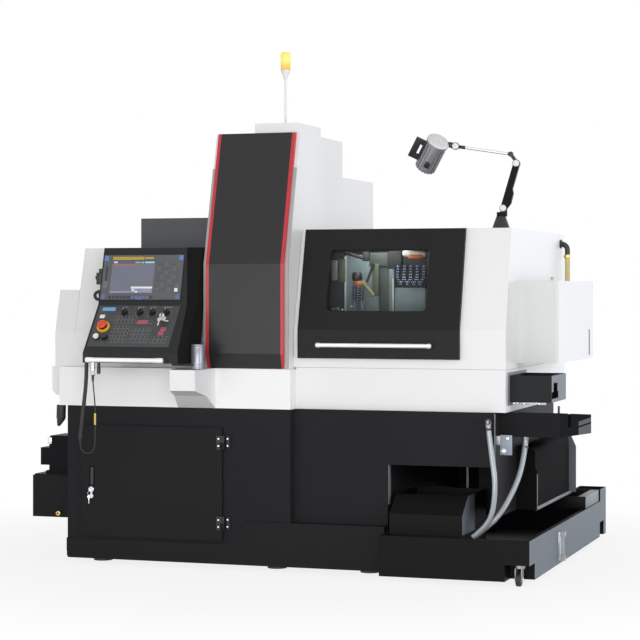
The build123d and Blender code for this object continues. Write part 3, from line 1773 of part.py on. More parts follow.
wrist_centre = Vector(along(lamp_wrist[0]), back(lamp_depth), lamp_wrist[1])
cap_centre = wrist_centre + Vector(-lamp_cap_run, -lamp_cap_out, lamp_cap_rise)
head_way = Vector(*lamp_head_way_shares).normalized()
head_plane = Plane(origin=cap_centre, z_dir=head_way)
grip_out = (Vector(-1, 0, 0) + head_way * head_way.X).normalized()
with BuildPart() as lamp_head:
    disc(across(lamp_wrist, -half_boss), lamp_boss_radius, lamp_boss_width)
    disc(across(lamp_wrist, -half_boss - lamp_knob_length), lamp_knob_radius, lamp_knob_length)
    disc(across(lamp_wrist, half_boss), lamp_pin_radius, lamp_elbow_side)
    disc(head_plane, lamp_cap_radius, lamp_cap_thickness)
    with BuildSketch(head_plane) as ribbed:
        Circle(lamp_head_radius)
        with PolarLocations(lamp_head_radius, lamp_rib_count):
            Rectangle(lamp_rib_height + lamp_rib_height, lamp_rib_width)
    extrude(ribbed.sketch, amount=lamp_head_length)
    disc(
        head_plane.offset(lamp_head_solid),
        lamp_head_radius - lamp_head_wall,
        lamp_head_length - lamp_head_solid + overrun,
        Mode.SUBTRACT,
    )
    neck_way = cap_centre + head_way * (lamp_head_solid / 2) - wrist_centre
    disc(Plane(origin=wrist_centre, z_dir=neck_way), lamp_neck_radius, neck_way.length)
    grip_high = cap_centre + head_way * lamp_grip_drop + grip_out * (lamp_head_radius - lamp_head_wall / 2)
    grip_low = grip_high + head_way * lamp_grip_height
    with BuildLine() as grip_route:
        Polyline(
            grip_high,
            grip_high + grip_out * lamp_grip_reach,
            grip_low + grip_out * lamp_grip_reach,
            grip_low,
        )
    with BuildSketch(Plane(origin=grip_high, x_dir=head_way, z_dir=grip_out)) as grip_section:
        Rectangle(lamp_grip_radius + lamp_grip_radius, lamp_grip_radius + lamp_grip_radius)
    sweep(grip_section.sketch, path=grip_route.line, transition=Transition.RIGHT)
lamp_head.part.label = "lamp_head"
export_step(lamp_head.part, "parts/lamp_head.step")

# Cast bed with its rails and the upright of the tool slide
with BuildPart() as machine_bed:
    slab((bed_inset, bed_end), (bed_front, bed_back), (base_top, bed_top - bed_rail_height))
    for front in bed_rail_fronts:
        slab((bed_inset, bed_end), (front, front + bed_rail_width), (bed_top - bed_rail_height, bed_top))
    slab(
        (upright_station, upright_end),
        (upright_front, bed_back),
        (bed_top - bed_rail_height, upright_top),
    )
machine_bed.part.label = "machine_bed"
export_step(machine_bed.part, "parts/machine_bed.step")

# Headstock on the rails
with BuildPart() as headstock:
    side_prism(
        (head_station, head_end),
        (
            (head_front - bed_rail_width, bed_top),
            (head_front - bed_rail_width, bed_top + head_chamfer),
            (head_front, bed_top + head_chamfer + head_chamfer),
            (head_front, head_top - head_chamfer),
            (head_front + head_chamfer, head_top),
            (head_back, head_top),
            (head_back, bed_top),
        ),
    )
    disc(
        lengthwise_plane(head_station - overrun, spindle_depth, spindle_height),
        spindle_radius + running_fit,
        head_end - head_station + overrun + overrun,
        Mode.SUBTRACT,
    )
headstock.part.label = "headstock"
export_step(headstock.part, "parts/headstock.step")

# Hollow spindle with its collet nose
with BuildPart() as spindle:
    disc(
        lengthwise_plane(spindle_start, spindle_depth, spindle_height),
        spindle_radius,
        spindle_end - spindle_start,
    )
    cone(
        lengthwise_plane(spindle_end, spindle_depth, spindle_height),
        spindle_radius,
        collet_radius,
        collet_end - spindle_end,
    )
    disc(
        lengthwise_plane(spindle_start - overrun, spindle_depth, spindle_height),
        bar_bore_radius,
        collet_end - spindle_start + overrun + overrun,
        Mode.SUBTRACT,
    )
spindle.part.label = "spindle"
export_step(spindle.part, "parts/spindle.step")

# Tool slide with its block and a row of square tools
with BuildPart() as tool_slide:
    slab((head_end, slide_end), (upright_front - slide_plate, upright_front), (slide_bottom, slide_top))
    slab(
        (tool_block_station, slide_end),
        (tool_block_front, upright_front - slide_plate),
        (tool_block_bottom, tool_block_top),
    )
    for number in range(tool_count):
        tool_depth = tool_first + number * tool_pitch
        slab(
            (tool_block_station - tool_reach, tool_block_station),
            (tool_depth, tool_depth + tool_size),
            (tool_height, tool_height + tool_size),
        )
tool_slide.part.label = "tool_slide"
export_step(tool_slide.part, "parts/tool_slide.step")

# Open coolant tank with castor pockets, the chip box and the filter box
with BuildPart() as coolant_tank:
    slab((tank_station, tank_end), (tank_front, tank_back), (tank_bottom, tank_top))
    slab(
        (tank_station + sheet, tank_end - sheet),
        (tank_front + sheet, tank_back - sheet),
        (tank_bottom + sheet, tank_top - sheet),
        Mode.SUBTRACT,
    )
    slab(
        (tank_station + tank_rim, tank_end - tank_rim),
        (tank_front + tank_rim, tank_back - tank_rim),
        (tank_top - sheet - overrun, tank_top + overrun),
        Mode.SUBTRACT,
    )
    for station, depth in castor_spots:
        slab(
            (station - pocket / 2 - sheet, min(station + pocket / 2 + sheet, tank_end)),
            (max(depth - pocket / 2 - sheet, tank_front), depth + pocket / 2 + sheet),
            (tank_bottom, pocket_roof + pocket_plate),
        )
    for station, depth in castor_spots:
        slab(
            (station - pocket / 2, station + pocket / 2),
            (depth - pocket / 2, depth + pocket / 2),
            (tank_bottom - overrun, pocket_roof),
            Mode.SUBTRACT,
        )
    for station, depth in castor_spots[:2]:
        disc(
            upright_plane(station, depth, pocket_roof - overrun),
            kingpin_radius + running_fit,
            kingpin_length + overrun,
            Mode.SUBTRACT,
        )
    side_prism(
        (chip_box_station, chip_box_end),
        (
            (chip_box_front, tank_bottom + sheet),
            (chip_box_front, chip_box_low),
            (chip_box_slope_end, chip_box_high),
            (chip_box_back, chip_box_high),
            (chip_box_back, tank_bottom + sheet),
        ),
    )
    side_prism(
        (chip_box_station + sheet, chip_box_end - sheet),
        (
            (chip_box_front + sheet, tank_bottom + sheet + sheet),
            (chip_box_front + sheet, chip_box_low - sheet),
            (chip_box_slope_end, chip_box_high - sheet),
            (chip_box_slope_end + sheet, chip_box_high + overrun),
            (chip_box_back - sheet, chip_box_high + overrun),
            (chip_box_back - sheet, tank_bottom + sheet + sheet),
        ),
        Mode.SUBTRACT,
    )
    slab((filter_station, tank_end), (filter_front, tank_back), (tank_top - sheet, filter_top))
    slab(
        (filter_station + sheet, tank_end - sheet),
        (filter_front + sheet, tank_back - sheet),
        (tank_top - sheet - overrun, filter_top + overrun),
        Mode.SUBTRACT,
    )
coolant_tank.part.label = "coolant_tank"
export_step(coolant_tank.part, "parts/coolant_tank.step")

# Level gauge on the right side of the tank
with BuildPart() as level_gauge:
    gauge_front = gauge_depth - gauge_width / 2
    for bottom in (gauge_bottom, gauge_top - gauge_block):
        slab(
            (tank_end, tank_end + gauge_proud),
            (gauge_front, gauge_front + gauge_width),
            (bottom, bottom + gauge_block),
        )
    disc(
        upright_plane(tank_end + gauge_proud / 2, gauge_depth, gauge_bottom + gauge_block),
        gauge_tube_radius,
        gauge_top - gauge_bottom - gauge_block - gauge_block,
    )
level_gauge.part.label = "level_gauge"
export_step(level_gauge.part, "parts/level_gauge.step")

# Castors: two swivel forks in front, two fixed forks behind, and four wheels
half_wheel = wheel_width / 2


def fork(station, depth):
    """A castor fork under a pocket roof, with its axle."""
    disc(upright_plane(station, depth, fork_disc_bottom), fork_disc_radius, pocket_roof - fork_disc_bottom)
    for side in (half_wheel + fork_gap, -half_wheel - fork_gap - fork_leg):
        slab(
            (station + side, station + side + fork_leg),
            (depth - fork_trail - fork_leg_width / 2, depth + fork_leg_width / 2),
            (wheel_radius - axle_radius - fork_leg, fork_disc_bottom),
        )
    axle_length = wheel_width + (fork_gap + fork_leg + axle_head) * 2
    axle_plane = lengthwise_plane(station - axle_length / 2, depth - fork_trail, wheel_radius)
    disc(axle_plane, axle_radius, axle_length)


for number, (station, depth) in enumerate(castor_spots[:2], start=1):
    with BuildPart() as swivel_fork:
        fork(station, depth)
        disc(upright_plane(station, depth, pocket_roof), kingpin_radius, kingpin_length - flat_clearance)
    swivel_fork.part.label = f"castor_fork_{number}"
    export_step(swivel_fork.part, f"parts/castor_fork_{number}.step")

with BuildPart() as rear_castor_forks:
    for station, depth in castor_spots[2:]:
        fork(station, depth)
rear_castor_forks.part.label = "rear_castor_forks"
export_step(rear_castor_forks.part, "parts/rear_castor_forks.step")

for number, (station, depth) in enumerate(castor_spots, start=1):
    with BuildPart() as wheel:
        wheel_plane = lengthwise_plane(station - half_wheel, depth - fork_trail, wheel_radius)
        disc(wheel_plane, wheel_radius, wheel_width)
        chamfer(wheel.edges().filter_by(GeomType.CIRCLE), length=wheel_edge)
        disc(
            wheel_plane.offset(-overrun),
            axle_radius + running_fit,
            wheel_width + overrun + overrun,
            Mode.SUBTRACT,
        )
    wheel.part.label = f"castor_wheel_{number}"
    export_step(wheel.part, f"parts/castor_wheel_{number}.step")
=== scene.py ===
# %% [markdown]
# # A turning lathe, dressed for its portrait
# The machine arrives as a imported model: every solid already has its true size and place.
# This lesson gives each surface its finish and adds the small things that a workshop eye
# looks for.

# %% Load the imported machine
import math

import bmesh
import bpy
from mathutils import Matrix, Vector

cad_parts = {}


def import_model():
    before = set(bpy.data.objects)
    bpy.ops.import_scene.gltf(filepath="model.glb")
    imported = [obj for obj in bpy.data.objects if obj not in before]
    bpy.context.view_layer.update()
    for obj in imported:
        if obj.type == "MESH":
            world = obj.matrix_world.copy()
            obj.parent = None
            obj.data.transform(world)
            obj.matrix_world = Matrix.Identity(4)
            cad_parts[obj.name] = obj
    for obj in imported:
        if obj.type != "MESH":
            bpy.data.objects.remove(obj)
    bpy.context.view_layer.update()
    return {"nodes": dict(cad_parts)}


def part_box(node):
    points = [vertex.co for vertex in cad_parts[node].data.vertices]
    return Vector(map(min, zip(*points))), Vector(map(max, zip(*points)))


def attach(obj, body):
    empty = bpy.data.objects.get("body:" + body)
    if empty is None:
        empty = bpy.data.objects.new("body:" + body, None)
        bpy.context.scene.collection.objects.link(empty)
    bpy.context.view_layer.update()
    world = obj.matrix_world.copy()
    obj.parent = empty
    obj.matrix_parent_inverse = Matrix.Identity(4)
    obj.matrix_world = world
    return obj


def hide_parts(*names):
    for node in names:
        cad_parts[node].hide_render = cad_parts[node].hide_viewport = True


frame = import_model()
nodes = frame["nodes"]
MM = 0.001
print("nodes in the frame:", len(nodes))

# %% [markdown]
# ## One way to say where things are
# Machine builders measure from a datum. Ours is the front left corner of the base on the
# floor: a station runs to the right, a depth to the back and a height up, in millimetres.
# The grab bar of the console reaches a known way in front of that corner. One function turns
# the three numbers into a point of the frame in metres.

# %% Datum
grab_bar_reach = 287.0
base_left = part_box("base_cabinet")[0][0]
bar_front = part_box("panel_handle")[0][1]
datum = Vector((base_left, bar_front + grab_bar_reach * MM, 0.0))


def at(station, depth, height):
    """The point of the frame at a station, depth and height in millimetres."""
    return datum + Vector((station, depth, height)) * MM


print("datum at", tuple(round(c, 4) for c in datum))

# %% [markdown]
# ## Camera
# The camera stands about nine metres in front of the machine and a little to its right, with
# a long lens, level with the operator's chest. It stays level, so that uprights stay
# upright, and a small shift brings the machine into the frame, as an architect would do it.

# %% Camera
camera_station, camera_depth, camera_height = 4077.0, -8553.0, 1300.0
camera_turn = 18.26
lens_mm = 111.94
sensor_mm = 36.0
horizon_shift = -0.0516

camera_data = bpy.data.cameras.new("portrait_camera")
camera_data.lens = lens_mm
camera_data.sensor_width = sensor_mm
camera_data.shift_y = horizon_shift
camera_data.clip_end = 200.0
camera = bpy.data.objects.new("portrait_camera", camera_data)
camera.location = at(camera_station, camera_depth, camera_height)
camera.rotation_euler = (math.radians(90.0), 0.0, math.radians(camera_turn))
bpy.context.scene.collection.objects.link(camera)
bpy.context.scene.camera = camera
print("camera at", tuple(round(c, 3) for c in camera.location))

# %% [markdown]
# ## Shader sums written as Python
# A material is a small graph. Wiring it by hand hides the thought behind it, so a socket is
# wrapped in a class whose operators add Math nodes: `1 - mask * 0.3` then reads as it is
# meant. Everything else comes from one method, which makes any node from its type, its
# settings and what goes into its sockets.


# %% Shader helpers
class Value:
    """One output socket of a finish, with sums and products that add Math nodes."""

    def __init__(self, finish, socket):
        self.finish = finish
        self.socket = socket

    def _sum(self, operation, first, second):
        return self.finish.add("ShaderNodeMath", {0: first, 1: second}, operation=operation)

    def __add__(self, other):
        return self._sum("ADD", self, other)

    def __radd__(self, other):
        return self._sum("ADD", other, self)

    def __sub__(self, other):
        return self._sum("SUBTRACT", self, other)

    def __rsub__(self, other):
        return self._sum("SUBTRACT", other, self)

    def __mul__(self, other):
        return self._sum("MULTIPLY", self, other)

    def __rmul__(self, other):
        return self._sum("MULTIPLY", other, self)

    def __gt__(self, other):
        return self._sum("GREATER_THAN", self, other)

    def __lt__(self, other):
        return self._sum("LESS_THAN", self, other)


class Finish:
    """A material in the making: its node tree and its Principled shader."""

    def __init__(self, name, **constants):
        self.material = bpy.data.materials.new(name)
        self.material.use_nodes = True
        self.tree = self.material.node_tree
        self.shader = self.tree.nodes["Principled BSDF"]
        self.place = self.add("ShaderNodeTexCoord", output="Object")
        for socket, value in constants.items():
            self.shader.inputs[socket.replace("_", " ")].default_value = value

    def add(self, kind, inputs=None, output=0, stops=None, **settings):
        node = self.tree.nodes.new(kind)
        for name, value in settings.items():
            setattr(node, name, value)
        for index, (position, colour) in enumerate(stops or ()):
            ramp = node.color_ramp.elements
            stop = ramp[index] if index < len(ramp) else ramp.new(position)
            stop.position = position
            stop.color = (*colour, 1.0)
        for socket, value in (inputs or {}).items():
            self.feed(node.inputs[socket], value)
        return Value(self, node.outputs[output])

    def feed(self, socket, value):
        if isinstance(value, Value):
            self.tree.links.new(value.socket, socket)
        else:
            socket.default_value = value

    def surface(self, **inputs):
        for socket, value in inputs.items():
            self.feed(self.shader.inputs[socket.replace("_", " ")], value)

    def noise(self, scale, detail=2.0, stretch=(1.0, 1.0, 1.0)):
        """Noise of so many lumps to the metre, stretched along an axis where it is under 1."""
        spread = self.add(
            "ShaderNodeMapping", {"Vector": self.place, "Scale": stretch}, vector_type="POINT"
        )
        return self.add("ShaderNodeTexNoise", {"Vector": spread, "Scale": scale, "Detail": detail})

    def part_of_place(self, axis):
        """The object coordinate along X, Y or Z, in metres."""
        return self.add("ShaderNodeSeparateXYZ", {0: self.place}, output=axis)

    def blend(self, mask, first, second):
        """The first colour where the mask is 0 and the second where it is 1."""
        return self.add(
            "ShaderNodeMix", {0: mask, 6: first, 7: second}, output=2, data_type="RGBA"
        )

    def bump(self, height, distance, strength=1.0):
        return self.add(
            "ShaderNodeBump", {"Height": height, "Distance": distance, "Strength": strength}
        )


def shade(colour, factor):
    """A colour made lighter or darker, as four numbers for a socket."""
    return tuple(min(1.0, channel * factor) for channel in colour[:3]) + (1.0,)


print("shader helpers ready")

# %% [markdown]
# ## Painted sheet metal
# Nearly everything here is folded steel with powder coat. Powder melts into a skin with a
# faint orange peel, and its gloss wanders a little over a large panel. Two noises do it: a
# slow one for tone and gloss, a fast one for the peel.

# %% Powder coat
cloud_lumps = 2.3
gloss_wander = 0.12
peel_gloss = 0.08
peel_strength = 0.35
machine_white = (0.80, 0.795, 0.805)


def powder_coat(name, colour, gloss, peel_scale, peel_height, tone=0.04, **constants):
    finish = Finish(name, **constants)
    cloud = finish.noise(cloud_lumps, 3.0)
    peel = finish.noise(peel_scale, 2.0)
    finish.surface(
        Base_Color=finish.blend(cloud, shade(colour, 1.0 - tone), shade(colour, 1.0 + tone)),
        Roughness=gloss + (cloud - 0.5) * gloss_wander + (peel - 0.5) * peel_gloss,
        Normal=finish.bump(peel, peel_height, peel_strength),
    )
    return finish


white_coat = powder_coat("white_coat", machine_white, 0.42, 420.0, 0.0004, 0.012)
# The left apron's coat is a lighter copy of the white coat: painted light that lifts it out of the shade
# under the console.
lit_apron_coat = powder_coat("lit_apron_coat", (0.87, 0.868, 0.876), 0.42, 420.0, 0.0004, 0.012)
black_coat = powder_coat(
    "black_coat", (0.0125, 0.0122, 0.0135), 0.46, 520.0, 0.0006, 0.10, Specular_IOR_Level=0.09
)
cover_coat = powder_coat(
    "cover_coat", (0.018, 0.018, 0.020), 0.36, 460.0, 0.0004, 0.06, Specular_IOR_Level=0.32
)
door_coat = powder_coat(
    "door_coat", (0.0125, 0.0122, 0.0125), 0.40, 460.0, 0.0004, 0.06, Specular_IOR_Level=0.14
)
pump_coat = powder_coat(
    "pump_coat", (0.0085, 0.009, 0.0105), 0.44, 460.0, 0.0004, 0.06, Specular_IOR_Level=0.06
)
dark_coat = powder_coat("dark_coat", (0.014, 0.0145, 0.016), 0.36, 480.0, 0.0005, 0.08)
slate_coat = powder_coat("slate_coat", (0.052, 0.054, 0.058), 0.46, 480.0, 0.0005, 0.06)
panel_coat = powder_coat(
    "panel_coat", (0.017, 0.018, 0.019), 0.46, 900.0, 0.0005, 0.08, Specular_IOR_Level=0.36
)
red_coat = powder_coat("red_coat", (0.50, 0.028, 0.036), 0.36, 460.0, 0.0003, 0.05)
print("powder coats ready")

# %% [markdown]
# ## Bare metal
# Drawn and ground bars have fine lines along their length. Noise that is stretched a
# fiftyfold along X gives the lines, and they vary the roughness more than the colour.


# %% Metals
def bare_metal(name, colour, roughness, stretch=(0.02, 1.0, 1.0), scale=700.0):
    finish = Finish(name, Metallic=1.0)
    lines = finish.noise(scale, 3.0, stretch)
    cloud = finish.noise(9.0, 2.0)
    finish.surface(
        Base_Color=finish.blend(lines, shade(colour, 0.88), shade(colour, 1.08)),
        Roughness=roughness + (lines - 0.5) * 0.18 + (cloud - 0.5) * 0.08,
        Normal=finish.bump(lines, 0.0002, 0.25),
    )
    return finish


bar_steel = bare_metal("bar_steel", (0.78, 0.79, 0.81), 0.26)
satin_steel = bare_metal("satin_steel", (0.86, 0.86, 0.87), 0.44)
zinc_plate = bare_metal("zinc_plate", (0.60, 0.62, 0.65), 0.36, (1.0, 1.0, 0.1), 160.0)
dull_zinc = bare_metal("dull_zinc", (0.34, 0.35, 0.37), 0.5, (1.0, 1.0, 0.1), 160.0)
turned_steel = bare_metal("turned_steel", (0.62, 0.63, 0.65), 0.24, (1.0, 0.05, 0.05), 500.0)
lamp_alloy = bare_metal("lamp_alloy", (0.40, 0.41, 0.43), 0.38, (1.0, 1.0, 0.2), 300.0)
brass = bare_metal("brass", (0.74, 0.52, 0.20), 0.30, (1.0, 1.0, 1.0), 240.0)
print("metals ready")

# %% [markdown]
# ## Castings
# The bed and the headstock are castings under machine grey. A coarse lumpy noise under the
# paint tells the eye that sand once lay against them.


# %% Castings
def painted_casting(name, colour, roughness):
    finish = Finish(name)
    lumps = finish.noise(120.0, 4.0)
    stain = finish.noise(5.0, 3.0)
    finish.surface(
        Base_Color=finish.blend(stain, shade(colour, 0.85), shade(colour, 1.1)),
        Roughness=roughness + (stain - 0.5) * 0.2,
        Normal=finish.bump(lumps, 0.0012, 0.4),
    )
    return finish


machine_grey = painted_casting("machine_grey", (0.23, 0.25, 0.27), 0.5)
oiled_iron = painted_casting("oiled_iron", (0.035, 0.036, 0.04), 0.34)
foot_iron = painted_casting("foot_iron", (0.05, 0.05, 0.052), 0.55)
print("castings ready")

# %% [markdown]
# ## Plastics and rubber
# Knobs and caps are moulded with a spark-eroded skin, which is a tight even noise. Rubber is
# the same idea with less gloss.


# %% Plastics
def moulded(name, colour, roughness, skin_scale=1400.0, skin_height=0.0002, **constants):
    finish = Finish(name, **constants)
    skin = finish.noise(skin_scale, 1.0)
    cloud = finish.noise(14.0, 2.0)
    finish.surface(
        Base_Color=finish.blend(cloud, shade(colour, 0.93), shade(colour, 1.06)),
        Roughness=roughness + (skin - 0.5) * 0.1,
        Normal=finish.bump(skin, skin_height, 0.3),
    )
    return finish


black_plastic = moulded("black_plastic", (0.012, 0.012, 0.013), 0.38)
unit_grey = moulded("unit_grey", (0.085, 0.092, 0.098), 0.42)
strip_grey = moulded("strip_grey", (0.40, 0.385, 0.39), 0.5)
white_plastic = moulded("white_plastic", (0.80, 0.80, 0.78), 0.32)
red_plastic = moulded("red_plastic", (0.72, 0.055, 0.012), 0.30)
yellow_plastic = moulded("yellow_plastic", (0.80, 0.42, 0.015), 0.36)
black_rubber = moulded("black_rubber", (0.014, 0.014, 0.015), 0.6, 500.0, 0.0004)
sleeve_steel = moulded("sleeve_steel", (0.33, 0.34, 0.40), 0.34, 700.0, 0.0002, Metallic=0.5)
hose_vinyl = moulded("hose_vinyl", (0.30, 0.335, 0.37), 0.14, 90.0, 0.0003, Coat_Weight=1.0)
print("plastics ready")

# %% [markdown]
# ## Finishes for the solids
# Every solid of the machine gets its finish by name. A solid that is made of more than one
# stuff, such as the bracket with its steel post, could be cut in two. It is simpler to tell
# its parts apart by place: a mask is 1 on one side of a station, depth or height and 0 on the
# other, and masks multiply where both must hold.


# %% Masks by place
def right_of(finish, station):
    return finish.part_of_place("X") > datum.x + station * MM


def left_of(finish, station):
    return finish.part_of_place("X") < datum.x + station * MM


def behind(finish, depth):
    return finish.part_of_place("Y") > datum.y + depth * MM


def before(finish, depth):
    return finish.part_of_place("Y") < datum.y + depth * MM


def above(finish, height):
    return finish.part_of_place("Z") > height * MM


def below(finish, height):
    return finish.part_of_place("Z") < height * MM


print("masks ready")


# %% Two finishes on one solid
def split_by_height(name, height, low, high, low_rough, high_rough, metal_above=0.0):
    """One colour below a height in millimetres and another above it."""
    finish = Finish(name)
    grain = finish.noise(300.0, 2.0)
    upper = above(finish, height)
    finish.surface(
        Base_Color=finish.blend(upper, shade(low, 1.0), shade(high, 1.0)),
        Metallic=upper * metal_above,
        Roughness=low_rough + upper * (high_rough - low_rough) + (grain - 0.5) * 0.1,
        Normal=finish.bump(grain, 0.0003, 0.25),
    )
    return finish


bracket_top = 926.0
bracket_finish = split_by_height(
    "bracket_finish", bracket_top, machine_white, (0.62, 0.64, 0.67), 0.42, 0.28, 1.0
)

print("masked finish of the bracket ready")

# %% [markdown]
# ## Black sheet in two tones
# The console and the base are black all over, but the flank of one and the guard of the other
# lie in shade and look deeper. Masks by place give them their own tone and gloss.


# %% Console and base
def console_paint():
    """Fine black texture, with painted shade: the flank that turns to the post is painted a deeper black."""
    finish = Finish("console_paint", Specular_IOR_Level=0.14)
    grain = finish.noise(900.0, 2.0)
    flank_station, console_top, flank_lean = 610.0, 1483.0, 0.1
    flank_edge = datum.x + (flank_station + console_top * flank_lean) * MM
    # The flank mask marks where the painted shade goes.
    flank = finish.part_of_place("X") + finish.part_of_place("Z") * flank_lean > flank_edge
    finish.surface(
        Base_Color=finish.blend(flank, (0.023, 0.024, 0.025, 1.0), (0.0055, 0.0055, 0.006, 1.0)),
        Roughness=0.46 + flank * 0.4 + (grain - 0.5) * 0.12,
        Normal=finish.bump(grain, 0.0005, 0.35),
    )
    return finish


def base_paint():
    """Black powder coat, duller on the guard at the right end and painted darker there as shade; the flange
    behind it is painted a lit grey.
    """
    finish = Finish("base_paint", Specular_IOR_Level=0.02)
    cloud = finish.noise(cloud_lumps, 3.0)
    peel = finish.noise(520.0, 2.0)
    guard_station, flange_depth = 2051.0, 1310.0
    shaded_guard = right_of(finish, guard_station)
    lit_flange = shaded_guard * behind(finish, flange_depth)
    plain = finish.blend(cloud, (0.0205, 0.0195, 0.0215, 1.0), (0.0235, 0.0225, 0.0245, 1.0))
    # Painted shade on the guard and painted light on the flange behind it.
    colour_with_shade = finish.blend(shaded_guard, plain, (0.0080, 0.0080, 0.0085, 1.0))
    finish.surface(
        Base_Color=finish.blend(lit_flange, colour_with_shade, (0.165, 0.18, 0.20, 1.0)),
        Roughness=0.46 + shaded_guard * 0.3 + (peel - 0.5) * peel_gloss,
        Normal=finish.bump(peel, 0.0006, peel_strength),
    )
    return finish

console_finish = console_paint()
base_finish = base_paint()
print("console and base ready")

# %% [markdown]
# ## Boxes, tray and tank
# The boxes at the right end have black fronts; their sides are painted a lit grey, and the white
# box has its front painted greyer as shade. This painted light changes at an edge of the sheet, so
# a station or a depth is mask enough.


# %% Boxes, tray and tank
def sided_paint(name, front, side, side_station, inner_station=None):
    """Black paint with painted light: its right side, from a station on, is painted a lit blue grey,
    and so is the near part of a flank at an inner station."""
    finish = Finish(name, Specular_IOR_Level=0.08)
    cloud = finish.noise(3.1, 3.0)
    peel = finish.noise(480.0, 2.0)
    right = right_of(finish, side_station)
    if inner_station:
        skin, flank_back, tank_rim = 0.6, 200.0, 204.0
        flank = left_of(finish, inner_station + skin) * right_of(finish, inner_station - skin)
        right = right + flank * before(finish, flank_back) * above(finish, tank_rim)
    # The side colour is painted light: the grey of black sheet lit by the key light, with a little random
    # tone.
    lit_side_tone = finish.blend(cloud, shade(side, 0.88), shade(side, 1.12))
    finish.surface(
        Base_Color=finish.blend(right, shade(front, 1.0), lit_side_tone),
        Roughness=0.44 + (cloud - 0.5) * 0.1 + (peel - 0.5) * peel_gloss,
        Normal=finish.bump(peel, 0.0005, peel_strength),
    )
    return finish


def box_paint():
    """White powder coat; the face that looks to the front is painted a greyer white as shade."""
    finish = Finish("box_paint", Specular_IOR_Level=0.2)
    cloud = finish.noise(cloud_lumps, 3.0)
    peel = finish.noise(420.0, 2.0)
    front_face = datum.y + 290.6 * MM
    front_end = datum.y + 318.0 * MM
    # Painted shade: the front face is painted greyer than the rest of the box.
    front = finish.add(
        "ShaderNodeMapRange",
        {0: finish.part_of_place("Y"), 1: front_face, 2: front_end, 3: 1.0, 4: 0.0},
    )
    white = finish.blend(cloud, (0.79, 0.785, 0.795, 1.0), (0.81, 0.805, 0.815, 1.0))
    finish.surface(
        Base_Color=finish.blend(front, white, (0.66, 0.67, 0.665, 1.0)),
        Roughness=0.42 + (cloud - 0.5) * gloss_wander + (peel - 0.5) * peel_gloss,
        Normal=finish.bump(peel, 0.0004, peel_strength),
    )
    return finish


def tray_paint():
    """Matt black tray; only the low end of its right side is painted a lit grey as painted light, but for a
    dark crease.
    """
    finish = Finish("tray_paint", Specular_IOR_Level=0.0)
    peel = finish.noise(480.0, 2.0)
    tray_end, lit_from, lit_top = 2324.0, 585.0, 676.0
    crease_bottom, crease_top = 647.0, 655.0
    end = right_of(finish, tray_end)
    beside_crease = above(finish, crease_top) + below(finish, crease_bottom)
    # Painted light: the lit grey on the low end of the right side, with the crease left black.
    lit_end = end * behind(finish, lit_from) * below(finish, lit_top) * beside_crease
    black = finish.blend(end, (0.019, 0.0195, 0.0205, 1.0), (0.018, 0.0185, 0.0195, 1.0))
    finish.surface(
        Base_Color=finish.blend(lit_end, black, (0.15, 0.16, 0.175, 1.0)),
        Roughness=0.5 + (peel - 0.5) * 0.1,
        Normal=finish.bump(peel, 0.0005, peel_strength),
    )
    return finish

box_finish = box_paint()
tray_finish = tray_paint()
# The second colour of each is painted light, the lit grey of its right side.
tank_finish = sided_paint("tank_paint", (0.0075, 0.0075, 0.008), (0.165, 0.19, 0.225), 2245.5, 1925.0)
catcher_finish = sided_paint("catcher_paint", (0.020, 0.021, 0.022), (0.140, 0.158, 0.186), 2287.5)
print("boxes, tray and tank ready")

# %% [markdown]
# ## Tube, hose, lens and pane
# The lamp's tube and the air hose change colour along their length. The lens glows a little and
# has ribs, which a wave texture draws. The pane is so thin that a low alpha is enough for it.


# %% Tube, hose, lens and pane
def arm_tube():
    """A pale tube with black ends where the joints clamp it."""
    finish = Finish("arm_tube")
    grain = finish.noise(400.0, 2.0)
    tube_left, tube_right = 1828.0, 2028.0
    ends = right_of(finish, tube_right) + left_of(finish, tube_left)
    finish.surface(
        Base_Color=finish.blend(ends, (0.74, 0.74, 0.76, 1.0), (0.012, 0.012, 0.013, 1.0)),
        Metallic=1.0 - ends,
        Roughness=0.3 + (grain - 0.5) * 0.1,
        Normal=finish.bump(grain, 0.00005, 0.2),
    )
    return finish


def hose_and_elbow():
    """A yellow hose whose elbow is black, with the brass clip drawn as its own piece."""
    finish = Finish("hose_and_elbow")
    print_noise = finish.noise(60.0, 3.0)
    elbow_bottom = 1462.0
    black_part = above(finish, elbow_bottom)
    hose = finish.blend(print_noise, (0.50, 0.42, 0.17, 1.0), (0.62, 0.54, 0.26, 1.0))
    finish.surface(
        Base_Color=finish.blend(black_part, hose, (0.013, 0.013, 0.014, 1.0)),
        Roughness=0.42 + (print_noise - 0.5) * 0.1,
        Normal=finish.bump(print_noise, 0.0006, 0.3),
    )
    return finish


def amber_lens():
    """A ribbed lamp lens that glows a little."""
    finish = Finish("amber_lens", Emission_Strength=0.55)
    ribs = finish.add(
        "ShaderNodeTexWave", {"Vector": finish.place, "Scale": 34.0}, bands_direction="Z"
    )
    lens_bottom, lens_top = 2.326, 2.41
    rise = finish.add("ShaderNodeMapRange", {0: finish.part_of_place("Z"), 1: lens_bottom, 2: lens_top})
    glow = finish.add(
        "ShaderNodeValToRGB",
        {0: rise},
        stops=((0.0, (0.95, 0.30, 0.03)), (0.55, (1.0, 0.62, 0.14)), (1.0, (1.0, 0.52, 0.08))),
    )
    finish.surface(
        Base_Color=glow, Emission_Color=glow, Roughness=0.18, Normal=finish.bump(ribs, 0.001, 0.5)
    )
    return finish


def window_pane():
    """Clear sheet with a faint grey tint, so thin that it need not bend light."""
    finish = Finish("window_pane", Alpha=0.16)
    smear = finish.noise(3.0, 3.0)
    finish.surface(
        Base_Color=finish.blend(smear, (0.02, 0.027, 0.03, 1.0), (0.04, 0.05, 0.055, 1.0)),
        Roughness=0.05 + smear * 0.05,
    )
    return finish


